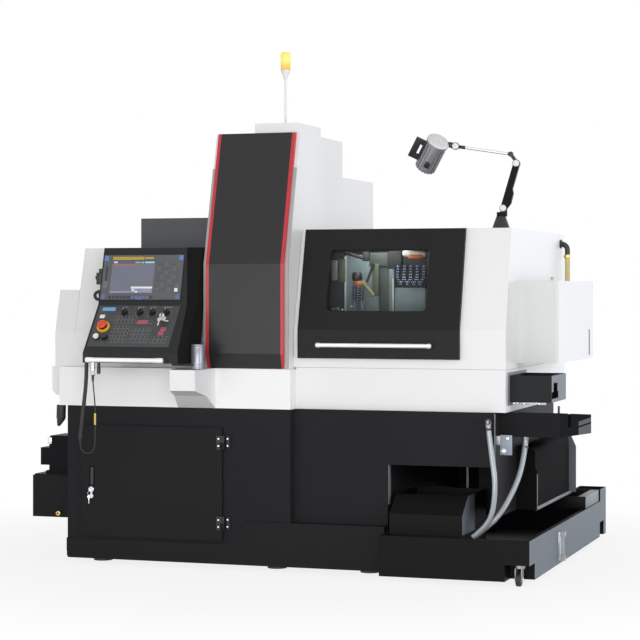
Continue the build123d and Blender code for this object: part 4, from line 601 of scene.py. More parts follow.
arm_finish = arm_tube()
air_hose_finish = hose_and_elbow()
lens_finish = amber_lens()
pane_finish = window_pane()
print("tube, hose, lens and pane ready")

# %% [markdown]
# ## Dressing the solids
# The solids stay as they came; only the material in their slots is changed. A table from
# finish to names shows at a glance what is made of the same stuff, which a list of sixty
# names each with its finish would hide.

# %% Dress the solids
wardrobe = {
    white_coat: (
        "right_apron", "column_shell", "left_enclosure", "right_enclosure", "beacon_pole",
    ),
    lit_apron_coat: ("left_apron",),
    box_finish: ("side_box",),
    base_finish: ("base_cabinet",),
    black_coat: ("base_skirt", "cabinet_door", "left_tank"),
    cover_coat: ("column_cover",),
    door_coat: ("front_door",),
    pump_coat: ("pump_motor", "lamp_fork", "lamp_lower_arm"),
    slate_coat: ("top_box",),
    tray_finish: ("chip_tray",),
    catcher_finish: ("catcher_box",),
    tank_finish: ("coolant_tank",),
    console_finish: ("panel_housing",),
    panel_coat: ("door_hinges", "panel_arm"),
    red_coat: ("red_trim",),
    strip_grey: ("side_strips",),
    unit_grey: ("panel_screen",),
    satin_steel: ("door_handle", "panel_handle"),
    zinc_plate: ("lock_key", "key_switch"),
    dull_zinc: ("castor_fork_1", "castor_fork_2", "rear_castor_forks", "level_gauge"),
    turned_steel: ("spindle",),
    lamp_alloy: ("lamp_head",),
    machine_grey: ("machine_bed", "headstock"),
    oiled_iron: ("tool_slide",),
    foot_iron: ("levelling_feet",),
    black_plastic: (
        "knob_1", "knob_2", "knob_3", "knob_4", "black_button", "cabinet_handle", "lamp_base",
    ),
    white_plastic: ("white_button",),
    arm_finish: ("lamp_upper_arm",),
    red_plastic: ("estop_button",),
    black_rubber: (
        "castor_wheel_1", "castor_wheel_2", "castor_wheel_3", "castor_wheel_4", "pendant_cable",
    ),
    hose_vinyl: ("drain_hoses",),
    bracket_finish: ("pivot_bracket",),
    air_hose_finish: ("air_hose",),
    lens_finish: ("beacon_lens",),
    pane_finish: ("door_window",),
}
for finish, names in wardrobe.items():
    for name in names:
        for material_slot in nodes[name].material_slots:
            material_slot.material = finish.material
dressed = [name for names in wardrobe.values() for name in names]
print("solids dressed:", len(dressed), "left plain:", sorted(set(nodes) - set(dressed)))

# %% [markdown]
# ## A small bench of mesh tools
# New pieces are made the way a toolmaker thinks: blocks with broken edges, rods between two
# points, and turned forms. `Shape` gathers them into one mesh, each with its own finish, on a
# plane of its own. The planes of the operator's board and of the screen lean with the
# console, so a key on them needs only its station, its way up the slope and its height.


# %% Mesh tools
def leaning_plane(origin, up):
    """Millimetres on a leaning face: along the machine, up the face and out of it."""
    rise = Vector(up).normalized()
    right = Vector((1.0, 0.0, 0.0))
    turn = Matrix((right, rise, right.cross(rise))).transposed().to_4x4()
    return Matrix.Translation(at(*origin)) @ turn @ Matrix.Scale(MM, 4)


machine_plane = Matrix.Translation(datum) @ Matrix.Scale(MM, 4)
board_foot, board_rise = (0.0, -245.0, 999.0), (0.0, 170.0, 218.0)
screen_foot, screen_rise = (0.0, -75.0, 1217.0), (0.0, 70.0, 266.0)
board_plane = leaning_plane(board_foot, board_rise)
screen_plane = leaning_plane(screen_foot, screen_rise)
crease_angle = math.radians(38.0)
merge_distance = 0.001


class Shape:
    """One mesh in the making, in millimetres on its plane."""

    def __init__(self, plane=machine_plane):
        self.bm = bmesh.new()
        self.plane = plane
        self.finishes = []

    def paint(self, old_faces, finish):
        if finish not in self.finishes:
            self.finishes.append(finish)
        for face in self.bm.faces:
            if face not in old_faces:
                face.material_index = self.finishes.index(finish)

    def soften(self, edges, width):
        bmesh.ops.bevel(
            self.bm, geom=edges, offset=width, segments=2, profile=0.5, affect="EDGES", material=-1
        )

    def block(self, low, high, finish, edge=0.0):
        """A box between two corners, with its edges broken."""
        old = set(self.bm.faces)
        low, high = Vector(low), Vector(high)
        place = Matrix.Translation((low + high) / 2) @ Matrix.Diagonal((*(high - low), 1.0))
        corners = bmesh.ops.create_cube(self.bm, size=1.0, matrix=place)["verts"]
        if edge:
            self.soften(list({line for corner in corners for line in corner.link_edges}), edge)
        self.paint(old, finish)

    def rod(self, start, end, radius, finish, end_radius=None, sides=20, edge=0.0):
        """A round bar or taper between two points."""
        old = set(self.bm.faces)
        start, end = Vector(start), Vector(end)
        way = end - start
        place = Matrix.Translation((start + end) / 2) @ way.to_track_quat("Z", "Y").to_matrix().to_4x4()
        rims = bmesh.ops.create_cone(
            self.bm, cap_ends=True, segments=sides, radius1=radius,
            radius2=radius if end_radius is None else end_radius, depth=way.length, matrix=place,
        )["verts"]
        if edge:
            caps = {face for vert in rims for face in vert.link_faces if len(face.verts) == sides}
            self.soften(list({line for face in caps for line in face.edges}), edge)
        self.paint(old, finish)

    def turned(self, start, way, profile, finish, steps=28):
        """A turned form: pairs of radius and distance, spun round the way from its start."""
        old = set(self.bm.faces)
        start, way = Vector(start), Vector(way).normalized()
        side = way.orthogonal().normalized()
        points = [self.bm.verts.new(start + side * radius + way * along) for radius, along in profile]
        lines = [self.bm.edges.new(pair) for pair in zip(points, points[1:])]
        bmesh.ops.spin(
            self.bm, geom=points + lines, cent=start, axis=way, dvec=(0.0, 0.0, 0.0),
            angle=math.tau, steps=steps, use_merge=True, use_duplicate=False,
        )
        fresh = {vert for face in self.bm.faces if face not in old for vert in face.verts}
        bmesh.ops.remove_doubles(self.bm, verts=list(fresh), dist=merge_distance)
        self.paint(old, finish)

    def ring(self, centre, way, radius, wire, finish, steps=28):
        """A round wire bent into a ring."""
        round_wire = [math.tau * turn / 8 for turn in range(9)]
        profile = [(radius + wire * math.cos(turn), wire * math.sin(turn)) for turn in round_wire]
        self.turned(centre, way, profile, finish, steps)

    def piece(self, name, body):
        """Turns the mesh into a piece that rides on a body."""
        bmesh.ops.recalc_face_normals(self.bm, faces=self.bm.faces)
        bmesh.ops.transform(self.bm, matrix=self.plane, verts=self.bm.verts)
        mesh = bpy.data.meshes.new(name)
        self.bm.to_mesh(mesh)
        self.bm.free()
        for finish in self.finishes:
            mesh.materials.append(finish.material)
        mesh.shade_smooth()
        mesh.set_sharp_from_angle(angle=crease_angle)
        made = bpy.data.objects.new(name, mesh)
        bpy.context.scene.collection.objects.link(made)
        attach(made, body)
        print(name, len(mesh.polygons), "faces on", body)
        return made


print("mesh tools ready")

# %% [markdown]
# ## Cords
# A cord is one smooth line. Its control points are the corners of the route that the solids
# follow, so the line cuts each corner softly, as a real cable does. The sleeve and the thin
# cable hang below the console and swing with it; the two drain hoses stay with the machine.


# %% Cords
def free_cord(name, route, diameter, finish, body):
    curve = bpy.data.curves.new(name, "CURVE")
    curve.dimensions = "3D"
    curve.bevel_depth = diameter / 2 * MM
    curve.bevel_resolution = 4
    curve.resolution_u = 12
    curve.use_fill_caps = True
    line = curve.splines.new("NURBS")
    line.points.add(len(route) - 1)
    for point, spot in zip(line.points, route):
        point.co = (*at(*spot), 1.0)
    line.order_u = 3
    line.use_endpoint_u = True
    curve.materials.append(finish.material)
    made = bpy.data.objects.new(name, curve)
    bpy.context.scene.collection.objects.link(made)
    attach(made, body)
    print(name, "with", len(route), "points")
    return made


sleeve_width, cable_width, hose_width = 18.0, 6.0, 24.0
sleeve_route = ((202, -225, 954), (202, -225, 878), (190, -226, 770), (172, -225, 612))
cable_route = (
    (172, -225, 612), (170, -226, 560), (191.7, -225, 538), (222.3, -224, 538), (244, -225, 560),
    (245.5, -226, 616), (247.5, -225, 698), (243, -224, 784), (234, -225, 870),
)
base_hose_route = (
    (2030, 20, 690), (2046, 12, 560), (2066, 4, 440), (2058, 0, 310), (2020, 0, 238), (1966, -4, 196),
)
tray_hose_route = (
    (2162, 176, 600), (2158, 146, 500), (2122, 92, 384), (2072, 40, 284), (2012, 27, 230), (1970, 25, 196),
)
sleeve = free_cord("pendant_sleeve", sleeve_route, sleeve_width, black_rubber, "panel")
thin_cable = free_cord("pendant_lead", cable_route, cable_width, black_rubber, "panel")
base_hose = free_cord(
    "base_drain_hose", base_hose_route, hose_width, hose_vinyl, "machine"
)
tray_hose = free_cord(
    "tray_drain_hose", tray_hose_route, hose_width, hose_vinyl, "machine"
)
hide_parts("pendant_cable")
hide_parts("drain_hoses")

# %% [markdown]
# ## What holds the cords
# The sleeve ends in a rubber boot where the thin cable comes out. The cable goes up into a
# metal connector under the console, and carries a yellow tag held by two black bands. All of
# them are turned or boxed forms, so they come straight from the bench.

# %% Boot, connector and tag
boot = Shape()
boot.turned(
    (172.6, -225, 617), (-0.1, 0.0, -1.0),
    ((0.0, 0.0), (9.6, 0.0), (10.4, 3.0), (10.4, 10.0), (8.0, 14.0), (5.4, 24.0), (3.4, 30.0), (0.0, 30.0)),
    black_rubber,
)
boot_piece = boot.piece("sleeve_boot", "panel")

connector = Shape()
connector.turned(
    (234, -225, 866), (0.0, 0.0, 1.0),
    ((0.0, 0.0), (4.2, 0.0), (5.4, 14.0), (5.8, 26.0), (7.6, 27.0), (7.6, 32.0), (0.0, 32.0)),
    black_rubber,
)
connector.turned(
    (234, -225, 897), (0.0, 0.0, 1.0),
    (
        (0.0, 0.0), (8.2, 0.0), (9.4, 2.0), (9.4, 16.0), (10.6, 18.0), (10.6, 30.0), (9.6, 32.0),
        (9.6, 44.0), (10.2, 46.0), (10.2, 56.8), (0.0, 56.8),
    ),
    bar_steel,
)
connector.turned(
    (262, -222, 902), (0.0, 0.0, 1.0),
    ((0.0, 0.0), (6.4, 0.0), (8.4, 2.0), (8.4, 28.0), (7.0, 31.0), (7.0, 51.8), (0.0, 51.8)),
    black_plastic,
)
connector_piece = connector.piece("pendant_connector", "panel")

tag_yellow = moulded("tag_yellow", (0.68, 0.50, 0.10), 0.4)
tag = Shape()
tag.block((241.6, -229.6, 669), (251.2, -228.2, 722), tag_yellow, 0.5)
tag.block((243.0, -229.4, 676), (249.6, -220.6, 680), black_plastic, 0.6)
tag.block((243.0, -229.4, 712), (249.6, -220.6, 716), black_plastic, 0.6)
tag_piece = tag.piece("cable_tag", "panel")

# %% [markdown]
# ## Hose fittings
# Each drain hose is pushed over a turned fitting and held by a dark clamp. The fittings stay
# with the machine, and the lower ends of the hoses hang bare over the tank.

# %% Hose fittings
clamp_band = ((12.2, 0.0), (13.6, 0.0), (13.6, 10.0), (12.2, 10.0), (12.2, 0.0))
fittings = Shape()
fittings.rod((2030, 50, 706), (2030, 6, 706), 13.8, black_plastic, edge=1.5)
fittings.turned(
    (2030, 20, 712), (0.0, 0.0, -1.0),
    ((0.0, 0.0), (13.6, 0.0), (14.8, 4.0), (14.8, 16.0), (13.4, 18.0), (13.4, 26.0), (0.0, 26.0)),
    dull_zinc,
)
fittings.turned(
    (2162, 176, 632.0), (0.0, 0.0, -1.0),
    ((0.0, 0.0), (15.5, 0.0), (15.5, 12.0), (13.6, 14.0), (13.6, 34.0), (0.0, 34.0)),
    dull_zinc,
)
for station, depth, height in ((2031.6, 19.2, 677), (2162, 173.5, 590)):
    fittings.turned((station, depth, height), (0.0, 0.0, -1.0), clamp_band, dark_coat)
fittings.piece("hose_fittings", "machine")

# %% [markdown]
# ## Screen unit
# The screen shows a plain working page: a dark header with blocks of colour, an empty field
# and a few boxes below. Beside it lie the flat keys of the unit, under it the soft keys, on its
# left the card slot, and a coloured tab sits on each corner. Thin blocks on the leaning plane
# of the screen make all of it, each a little higher than what it lies on.

# %% Screen finishes
page_grey = moulded("page_grey", (0.155, 0.165, 0.215), 0.22, 300.0, 0.0001)
header_blue = moulded("header_blue", (0.10, 0.105, 0.15), 0.22, 300.0, 0.0001)
lavender = moulded("lavender", (0.26, 0.27, 0.42), 0.25, 300.0, 0.0001)
cyan_field = moulded("cyan_field", (0.34, 0.66, 0.76), 0.25, 300.0, 0.0001)
rose_line = moulded("rose_line", (0.50, 0.10, 0.15), 0.25, 300.0, 0.0001)
tab_blue = moulded("tab_blue", (0.10, 0.22, 0.48), 0.3, 300.0, 0.0001)
tab_violet = moulded("tab_violet", (0.12, 0.14, 0.32), 0.3, 300.0, 0.0001)
key_grey = moulded("key_grey", (0.125, 0.13, 0.138), 0.48)
key_dark = moulded("key_dark", (0.030, 0.031, 0.033), 0.48)
pale_print = moulded("pale_print", (0.34, 0.35, 0.35), 0.5)
key_nickel = moulded("key_nickel", (0.66, 0.64, 0.60), 0.3)
rose_key = moulded("rose_key", (0.50, 0.05, 0.095), 0.4)
sky_plate = moulded("sky_plate", (0.16, 0.36, 0.66), 0.35)
strip_yellow = moulded("strip_yellow", (0.42, 0.30, 0.045), 0.4)
print("screen finishes ready")

# %% Screen page
page_floor, page_top, field_top, bar_top, mark_top = 4.0, 4.7, 5.0, 5.1, 5.2
page = Shape(screen_plane)


def page_field(left, low, right, high, tint, top=field_top):
    """A field of colour that lies on the page."""
    page.block((left, low, page_top), (right, high, top), tint)


def page_mark(left, low, right, high, tint):
    """A small mark that lies on a field."""
    page.block((left, low, field_top), (right, high, mark_top), tint)


page.block((242.6, 54.6, page_floor), (460.4, 209.4, page_top), page_grey)
page_field(243, 197, 460, 209, header_blue)
page_mark(252, 200, 270, 207, white_plastic)
page_mark(360, 199, 390, 206, pale_print)
page_mark(394, 199, 403, 206, cyan_field)
page_mark(409, 199, 456, 206.5, cyan_field)
page_field(249, 189, 386, 192.6, rose_line)
page_field(350, 77, 457, 86.5, white_plastic, bar_top)
page_field(351, 57, 456, 75.5, lavender)
page_mark(356, 65, 368, 74, white_plastic)
page_mark(372, 58, 384, 66, white_plastic)
page_mark(410, 67, 450, 72, pale_print)
page_field(246, 56, 349, 65, lavender)
page.piece("screen_page", "panel")

# %% Screen unit keys
unit_face = 6.0
unit = Shape(screen_plane)
unit.block((246, 214.5, unit_face), (404, 229.5, 6.5), strip_yellow)
unit.block((408, 218, unit_face), (452, 228, 6.4), strip_yellow)
corner_tabs = (
    (203, 211, tab_blue), (578, 213, tab_blue), (203, 25.5, tab_violet), (577, 26.5, tab_violet),
)
for station, low, tint in corner_tabs:
    unit.block((station, low, unit_face), (station + 21, low + 23, 6.6), tint, 0.3)
for column in range(6):
    for row in range(7):
        left, low = 474.0 + column * 19.6, 64.0 + row * 20.0
        tint = key_grey if (column * 5 + row * 3) % 7 < 2 else unit_grey
        if (column, row) != (5, 0):
            unit.block((left, low, unit_face), (left + 15.6, low + 15.0, 7.2), tint, 0.5)
            unit.block((left + 4.0, low + 5.0, 7.2), (left + 10.4, low + 8.4, 7.3), key_dark)
unit.block((569, 62, unit_face), (586, 79, 7.6), white_plastic, 2.0)
for number in range(12):
    left = 242.0 + number * 18.8
    tint = tab_violet if 6 <= number < 11 else key_dark
    unit.block((left, 29, unit_face), (left + 14.4, 41, 7.2), tint, 0.5)
unit.block((380, 24.6, unit_face), (416, 28.4, 6.8), tab_blue, 0.2)
unit.block((209, 76, unit_face), (233, 190, 6.7), unit_grey, 0.4)
unit.block((217, 92, 6.7), (225, 184, 7.0), black_plastic, 0.2)
unit.block((208, 76, 6.7), (228, 112, 8.2), key_grey, 0.6)
unit.piece("screen_unit_keys", "panel")

# %% [markdown]
# ## Operator's board
# The sloping board carries a printed overlay with rows of flat keys, so one helper makes a key
# and loops set the rows. The coloured keys stand where the eye finds them first: white by the
# stop button, two groups in red. The plate at the top left is plain.


# %% Board overlay and keys
def flat_key(shape, left, low, width, height, finish, lift=0.8):
    """A flat key with a pale printed edge."""
    rim, print_height, key_height = 0.9, 0.3, 1.2
    right, high = left + width, low + height
    shape.block((left, low, lift), (right, high, lift + print_height), pale_print)
    shape.block((left + rim, low + rim, lift), (right - rim, high - rim, lift + key_height), finish, 0.4)


board_grey = moulded("board_grey", (0.042, 0.044, 0.046), 0.5)
overlay = Shape(board_plane)
overlay.block((203, 36, 0.0), (606, 273, 0.6), board_grey, 0.2)
overlay.block((222, 240, 0.6), (288, 261, 1.4), sky_plate, 0.5)
overlay.block((222, 197, 0.0), (246, 216, 4.5), white_plastic, 1.0)
for station, wide in ((338, 20), (416, 32), (477, 30), (548, 44)):
    overlay.block((station - wide / 2, 262, 0.6), (station + wide / 2, 264.4, 0.9), pale_print)
for column in range(6):
    for row in range(2):
        flat_key(overlay, 300.0 + column * 18.4, 170.0 + row * 22.0, 14.4, 17.0, key_dark)
for column in range(5):
    for row in range(5):
        flat_key(overlay, 300.0 + column * 18.0, 58.0 + row * 20.4, 14.0, 15.6, key_dark)
for column in range(5):
    for row in range(4):
        flat_key(overlay, 400.0 + column * 20.0, 58.0 + row * 23.0, 15.6, 17.4, board_grey)
for column in range(4):
    for row in range(2):
        flat_key(overlay, 506.0 + column * 20.6, 58.0 + row * 22.0, 16.0, 17.0, key_dark)
for number in range(3):
    flat_key(overlay, 416.0 + number * 18.0, 168.0, 16.6, 19.0, rose_key)
for row in range(2):
    flat_key(overlay, 536.0 + row * 6.0, 103.0 + row * 24.0, 25.0, 21.0, rose_key)
flat_key(overlay, 472.0, 168.0, 17.0, 19.0, key_dark)
overlay.piece("board_overlay", "panel")

# %% [markdown]
# ## Dials
# Ticks stand round each rotary switch, a yellow collar lies under the stop button and two rings
# frame the push buttons. They stay with the board. The white pointers turn, so each is a piece
# of its own that rides on its knob.

# %% Ticks, rings and pointers
knob_stations, knob_rise = (338.0, 416.0, 477.1, 547.9), 231.9
stop_station, stop_rise = 254.9, 147.9
scales = Shape(board_plane)
for station in knob_stations:
    for tick in range(11):
        turn = math.radians(-150.0 + 30.0 * tick)
        away = Vector((math.sin(turn), math.cos(turn), 0.0))
        middle = Vector((station, knob_rise, 0.9))
        scales.rod(middle + away * 21.5, middle + away * 25.5, 0.7, pale_print, sides=6)
scales.turned(
    (stop_station, stop_rise, 0.7), (0.0, 0.0, 1.0),
    ((29.2, 0.0), (31.5, 0.0), (31.5, 2.0), (29.4, 8.1), (25.0, 8.5), (21.5, 7.6), (21.5, 7.5), (29.2, 0.0)),
    yellow_plastic,
)
for station in (238.0, 278.1):
    scales.ring((station, 86.0, 4.2), (0.0, 0.0, 1.0), 14.8, 1.3, black_plastic)
scales.piece("dial_ticks", "panel")

for number, station in enumerate(knob_stations, start=1):
    pointer = Shape(board_plane)
    pointer.block((station - 0.9, 233.0, 24.1), (station + 0.9, 242.2, 24.7), white_plastic, 0.2)
    pointer.piece("knob_pointer_%d" % number, "knob_%d" % number)

# %% [markdown]
# ## Stop button and keys
# The stop button is a mushroom: its rim is wider than its stem, so that a palm finds it. The
# mode switch has its key in place, and two more hang from it on a ring. A round bow and a
# narrow blade are enough to make a key.

# %% Mushroom cap
mushroom = Shape(board_plane)
mushroom.turned(
    (stop_station, stop_rise, 0.0), (0.0, 0.0, 1.0),
    (
        (0.0, 20.2), (20.4, 20.2), (22.4, 20.8), (23.2, 22.4), (23.0, 24.6), (21.4, 27.0), (17.0, 29.2),
        (9.0, 30.7), (0.0, 31.0),
    ),
    red_plastic, 40,
)
mushroom.piece("stop_mushroom", "estop_button")

# %% Hanging keys
bow = ((0.0, -1.4), (11.6, -1.4), (12.4, 0.0), (11.6, 1.4), (0.0, 1.4))
keys = Shape(board_plane)
collar_profile = ((6.0, 0.0), (10.6, 0.0), (10.6, 1.6), (6.0, 1.6), (6.0, 0.0))
keys.turned((543, 192, 6.3), (0.0, 0.0, 1.0), collar_profile, bar_steel)
keys.turned((541, 199, 26.0), (0.35, 0.2, 1.0), bow, key_nickel)
keys.ring((543, 184, 33.0), (0.95, 0.0, 0.3), 9.0, 1.1, key_nickel)
keys.turned((538, 172, 31.0), (-0.3, 0.1, 1.0), bow, key_nickel)
keys.block((535.4, 136, 29.4), (541.0, 164, 32.0), key_nickel, 0.4)
keys.turned((556, 178, 27.0), (-0.2, 0.2, 1.0), bow, key_nickel)
keys.block((560, 163, 25.4), (582, 168.6, 27.6), key_nickel, 0.4)
keys.piece("hanging_keys", "key_switch")

# %% [markdown]
# ## Console hardware
# A grey steel sleeve turns round the post, so it is one turned profile. The grab bar gets a
# thicker skin and a sleeve at each end. On the left flank of the console sit a socket box with
# a round nut and a rubber ring.

# %% Post sleeve, bar ends and ports
hardware = Shape()
hardware.turned(
    (716, -140, 928), (0.0, 0.0, 1.0),
    (
        (26.2, 0.0), (30.5, 0.0), (31.5, 1.0), (31.5, 6.0), (30.4, 7.0), (30.4, 20.0), (31.2, 21.0),
        (31.2, 92.0), (29.8, 94.0), (29.8, 102.0), (31.2, 104.0), (31.2, 110.0), (30.2, 111.2),
        (26.2, 111.2), (26.2, 0.0),
    ),
    sleeve_steel, 48,
)
for start, end in ((221.5, 258.0), (567.0, 603.5)):
    hardware.rod((start, -274.4, 968), (end, -274.4, 968), 12.4, satin_steel, sides=28, edge=2.4)
hardware.rod((257.0, -275.9, 968), (568.0, -275.9, 968), 10.9, satin_steel, sides=28)
hardware.piece("console_sleeves", "panel")

ports = Shape()
ports.block((164.5, -38.0, 1311), (192.0, 18.0, 1367), black_plastic, 3.0)
ports.block((172.0, -26.0, 1366), (190.0, 8.0, 1386), black_plastic, 3.0)
ports.rod((165.0, -20.0, 1344), (156.5, -20.0, 1344), 10.0, black_plastic, edge=1.5)
ports.ring((176.0, -34.0, 1259.5), (0.3, -1.0, 0.0), 18.0, 7.5, black_rubber, 32)
ports.block((180.0, -46.0, 1232), (192.0, -22.0, 1287), black_plastic, 3.0)
ports.piece("flank_ports", "panel")

# %% [markdown]
# ## Work lamp
# The lamp head hangs in its own frame: along the head, out to the grip and across. A pale dome
# closes the cap, black sleeves cover the grip, a switch sits on one side, six screws stand round
# the rim and cream knobs clamp the joints. In a frame of the head's own all of them are plain
# upright forms.

# %% Lamp pieces
head_way = Vector((-0.52, 0.49, -0.70)).normalized()
grip_way = Vector((-0.854, -0.298, 0.426)).normalized()
head_axes = Matrix((head_way, grip_way, head_way.cross(grip_way))).transposed().to_4x4()
head_plane = Matrix.Translation(at(1712, 360, 1972)) @ head_axes @ Matrix.Scale(MM, 4)
cream_plastic = moulded("cream_plastic", (0.78, 0.76, 0.70), 0.4)
dome_grey = moulded("dome_grey", (0.70, 0.70, 0.72), 0.36)

head = Shape(head_plane)
head.turned(
    (-0.2, 0.0, 0.0), (-1.0, 0.0, 0.0),
    ((0.0, 0.0), (53.4, 0.0), (53.8, 1.6), (51.0, 4.2), (40.0, 6.6), (22.0, 8.0), (0.0, 8.4)), dome_grey, 48,
)
grip_sleeves = (
    ((27.0, 68.0), (138.0, 98.6)), ((27.0, 47.0), (138.0, 57.0)), ((27.0, 56.0), (52.0, 69.0)),
    ((112.0, 56.0), (138.0, 69.0)),
)
for low, high in grip_sleeves:
    head.block((*low, -8.0), (*high, 8.0), black_plastic, 2.0)
head.block((98.0, -13.0, -56.0), (126.0, 13.0, -47.0), black_plastic, 2.0)
head.block((105.0, -5.0, -58.6), (119.0, 5.0, -55.0), black_plastic, 1.0)
for number in range(6):
    turn = math.tau * number / 6
    spoke = Vector((0.0, math.cos(turn), math.sin(turn)))
    foot = Vector((154.0, 0.0, 0.0))
    head.rod(foot + spoke * 44.0, foot + spoke * 48.4, 3.0, bar_steel, sides=12, edge=0.6)
head.piece("lamp_trim", "lamp_head")
collar = Shape()
collar.rod((1752, 388, 1961), (1776, 397, 1954), 12.5, black_plastic, end_radius=14.5, edge=1.5)
collar.rod((1774, 401, 1953), (1796, 401, 1951), 14.5, black_plastic, edge=2.0)
collar.piece("wrist_collar", "lamp_head")

knob_profile = ((0.0, 0.0), (14.7, 0.0), (15.0, 1.5), (15.0, 9.0), (12.8, 12.0), (6.0, 13.0), (0.0, 13.0))
knob_seat = ((15.2, -3.0), (17.6, -3.0), (17.6, 3.0), (15.2, 3.0), (15.2, -3.0))
for name, body, station, depth, height in (
    ("wrist_knob", "lamp_head", 1787, 391.2, 1952),
    ("elbow_knob", "lamp_lower_arm", 2074, 385.2, 1867),
    ("shoulder_knob", "lamp_fork", 2013, 385.2, 1662),
):
    clamp = Shape()
    clamp.turned((station, depth, height), (0.0, -1.0, 0.0), knob_profile, cream_plastic, 24)
    clamp.turned((station, depth, height), (0.0, -1.0, 0.0), knob_seat, black_plastic, 24)
    clamp.piece(name, body)

# %% [markdown]
# ## Behind the window
# Through the pane one sees the working room: a folded sheet wall, a tool holder, coolant pipes
# of blue ball segments with orange nozzles, a green hose and a cream tube. The glints on the
# balls are modelled as tiny pale caps. All of it is fixed to the machine and kept clear of
# the slide.

# %% Chamber finishes
sheet_blue = moulded("sheet_blue", (0.235, 0.315, 0.325), 0.42)
pipe_blue = moulded("pipe_blue", (0.008, 0.022, 0.095), 0.3)
nozzle_orange = moulded("nozzle_orange", (0.60, 0.17, 0.03), 0.35)
hose_green = moulded("hose_green", (0.26, 0.30, 0.13), 0.45)
olive_cast = moulded("olive_cast", (0.085, 0.105, 0.055), 0.5)
steel_grey = moulded("steel_grey", (0.17, 0.19, 0.20), 0.4)
shade_green = moulded("shade_green", (0.075, 0.098, 0.085), 0.5)
print("chamber finishes ready")


# %% Ball pipe
gleam = ((0.0, -2.0), (1.9, -1.4), (2.3, 0.0), (1.6, 1.2), (0.0, 1.6))
bulge = ((0.0, -1.0), (0.62, -0.95), (0.95, -0.45), (1.0, 0.0), (0.95, 0.45), (0.62, 0.95), (0.0, 1.0))
overlap = 1.06


def ball_pipe(shape, points, radius, finish, count, gleams=(0.3,)):
    """A flexible pipe of ball segments along a run of straight lines."""
    points = [Vector(point) for point in points]
    lengths = [(b - a).length for a, b in zip(points, points[1:])]
    for number in range(count):
        way = sum(lengths) * (number + 0.5) / count
        for start, end, length in zip(points, points[1:], lengths):
            if way <= length:
                break
            way -= length
        step = (end - start).normalized()
        middle = start + step * way
        half = sum(lengths) / count / 2
        ball = [(radius * across, half * along * overlap) for across, along in bulge]
        shape.turned(middle, step, ball, finish, 16)
        # Each gleam is a painted highlight: a tiny pale cap on the front of the ball.
        for across in gleams:
            front = Vector((across, -math.sqrt(1.0 - across * across), 0.0))
            shape.turned(middle + front * radius * 0.97, front, gleam, white_plastic, 8)


print("ball pipes have", len(bulge), "points to a ball")

# %% Chamber walls and tool holder
walls = Shape()
walls.block((1244, 430, 1180), (1404, 434, 1452), sheet_blue, 1.0)
walls.block((1238, 420, 1186), (1244, 434, 1446), white_plastic, 1.0)
walls.block((1404, 440, 1184), (1456, 480, 1398), shade_green, 3.0)
walls.block((1360, 424, 1398), (1456, 432, 1462), shade_green, 2.0)
walls.block((1457, 424, 1186), (1481, 434, 1404), sheet_blue, 2.0)
walls.block((1474, 421, 1186), (1480, 425, 1340), white_plastic, 1.0)
walls.block((1482, 430, 1184), (1630, 434, 1296), sheet_blue, 1.5)
walls.block((1148, 424, 1180), (1236, 428, 1470), black_rubber, 1.0)
walls.block((1482, 436, 1290), (1640, 440, 1470), black_rubber, 1.0)
walls.block((1202, 326, 1330), (1231, 344, 1426), steel_grey, 5.0)
walls.block((1238, 330, 1322), (1270, 338, 1430), olive_cast, 2.0)
walls.rod((1206, 330, 1196), (1240, 330, 1200), 6.0, bar_steel, edge=1.0)
walls.rod((1236, 326, 1193), (1262, 326, 1193), 5.0, bar_steel, edge=1.0)
walls.block((1476, 326, 1384), (1544, 366, 1466), black_rubber, 4.0)
walls.block((1355, 326, 1420), (1387, 350, 1464), black_plastic, 4.0)
walls.block((1402, 330, 1258), (1434, 342, 1408), olive_cast, 4.0)
walls.piece("chamber_walls", "machine")

# %% Coolant pipes
pipes = Shape()
pipes.rod((1252, 328, 1468), (1300, 326, 1452), 8.0, black_rubber)
pipes.rod((1300, 326, 1452), (1362, 330, 1434), 8.0, black_rubber)
pipes.turned(
    (1329, 328, 1370), (0.0, 0.0, -1.0),
    ((0.0, 0.0), (16.0, 0.0), (24.0, 10.0), (25.0, 30.0), (20.0, 42.0), (0.0, 42.0)), black_plastic,
)
pipes.turned(
    (1336, 328, 1328), (0.05, 0.0, -1.0),
    ((0.0, 0.0), (22.0, 0.0), (24.5, 6.0), (24.5, 16.0), (20.0, 24.0), (0.0, 24.0)), nozzle_orange,
)
wide_pipe = ((1336, 326, 1304), (1334, 324, 1270), (1332, 324, 1238))
ball_pipe(pipes, wide_pipe, 31.0, pipe_blue, 6, (-0.8, -0.25, 0.3, 0.8))
pipes.rod((1318, 326, 1240), (1316, 326, 1194), 9.0, steel_grey)
pipes.rod((1350, 326, 1240), (1356, 326, 1194), 9.0, steel_grey)
pipes.turned(
    (1304, 322, 1210), (0.0, -1.0, 0.0), ((0.0, 0.0), (6.0, 0.0), (6.0, 3.0), (0.0, 4.0)), white_plastic, 16
)
pipes.rod((1355, 326, 1326), (1412, 326, 1258), 9.0, hose_green)
pipes.rod((1412, 322, 1408), (1378, 322, 1321), 6.0, black_plastic)
for number in range(4):
    left = 1532.0 + number * 31.0
    loop = (
        (left, 330, 1402), (left - 4, 326, 1342), (left + 14, 322, 1312), (left + 30, 326, 1344),
        (left + 30, 332, 1402),
    )
    ball_pipe(pipes, loop, 11.5, pipe_blue, 15, (-0.35, 0.35))
pipes.turned(
    (1550, 326, 1456), (1.0, 0.0, -0.06),
    ((0.0, 0.0), (10.0, 2.0), (15.0, 10.0), (15.0, 96.0), (11.0, 110.0), (0.0, 113.0)), cream_plastic,
)
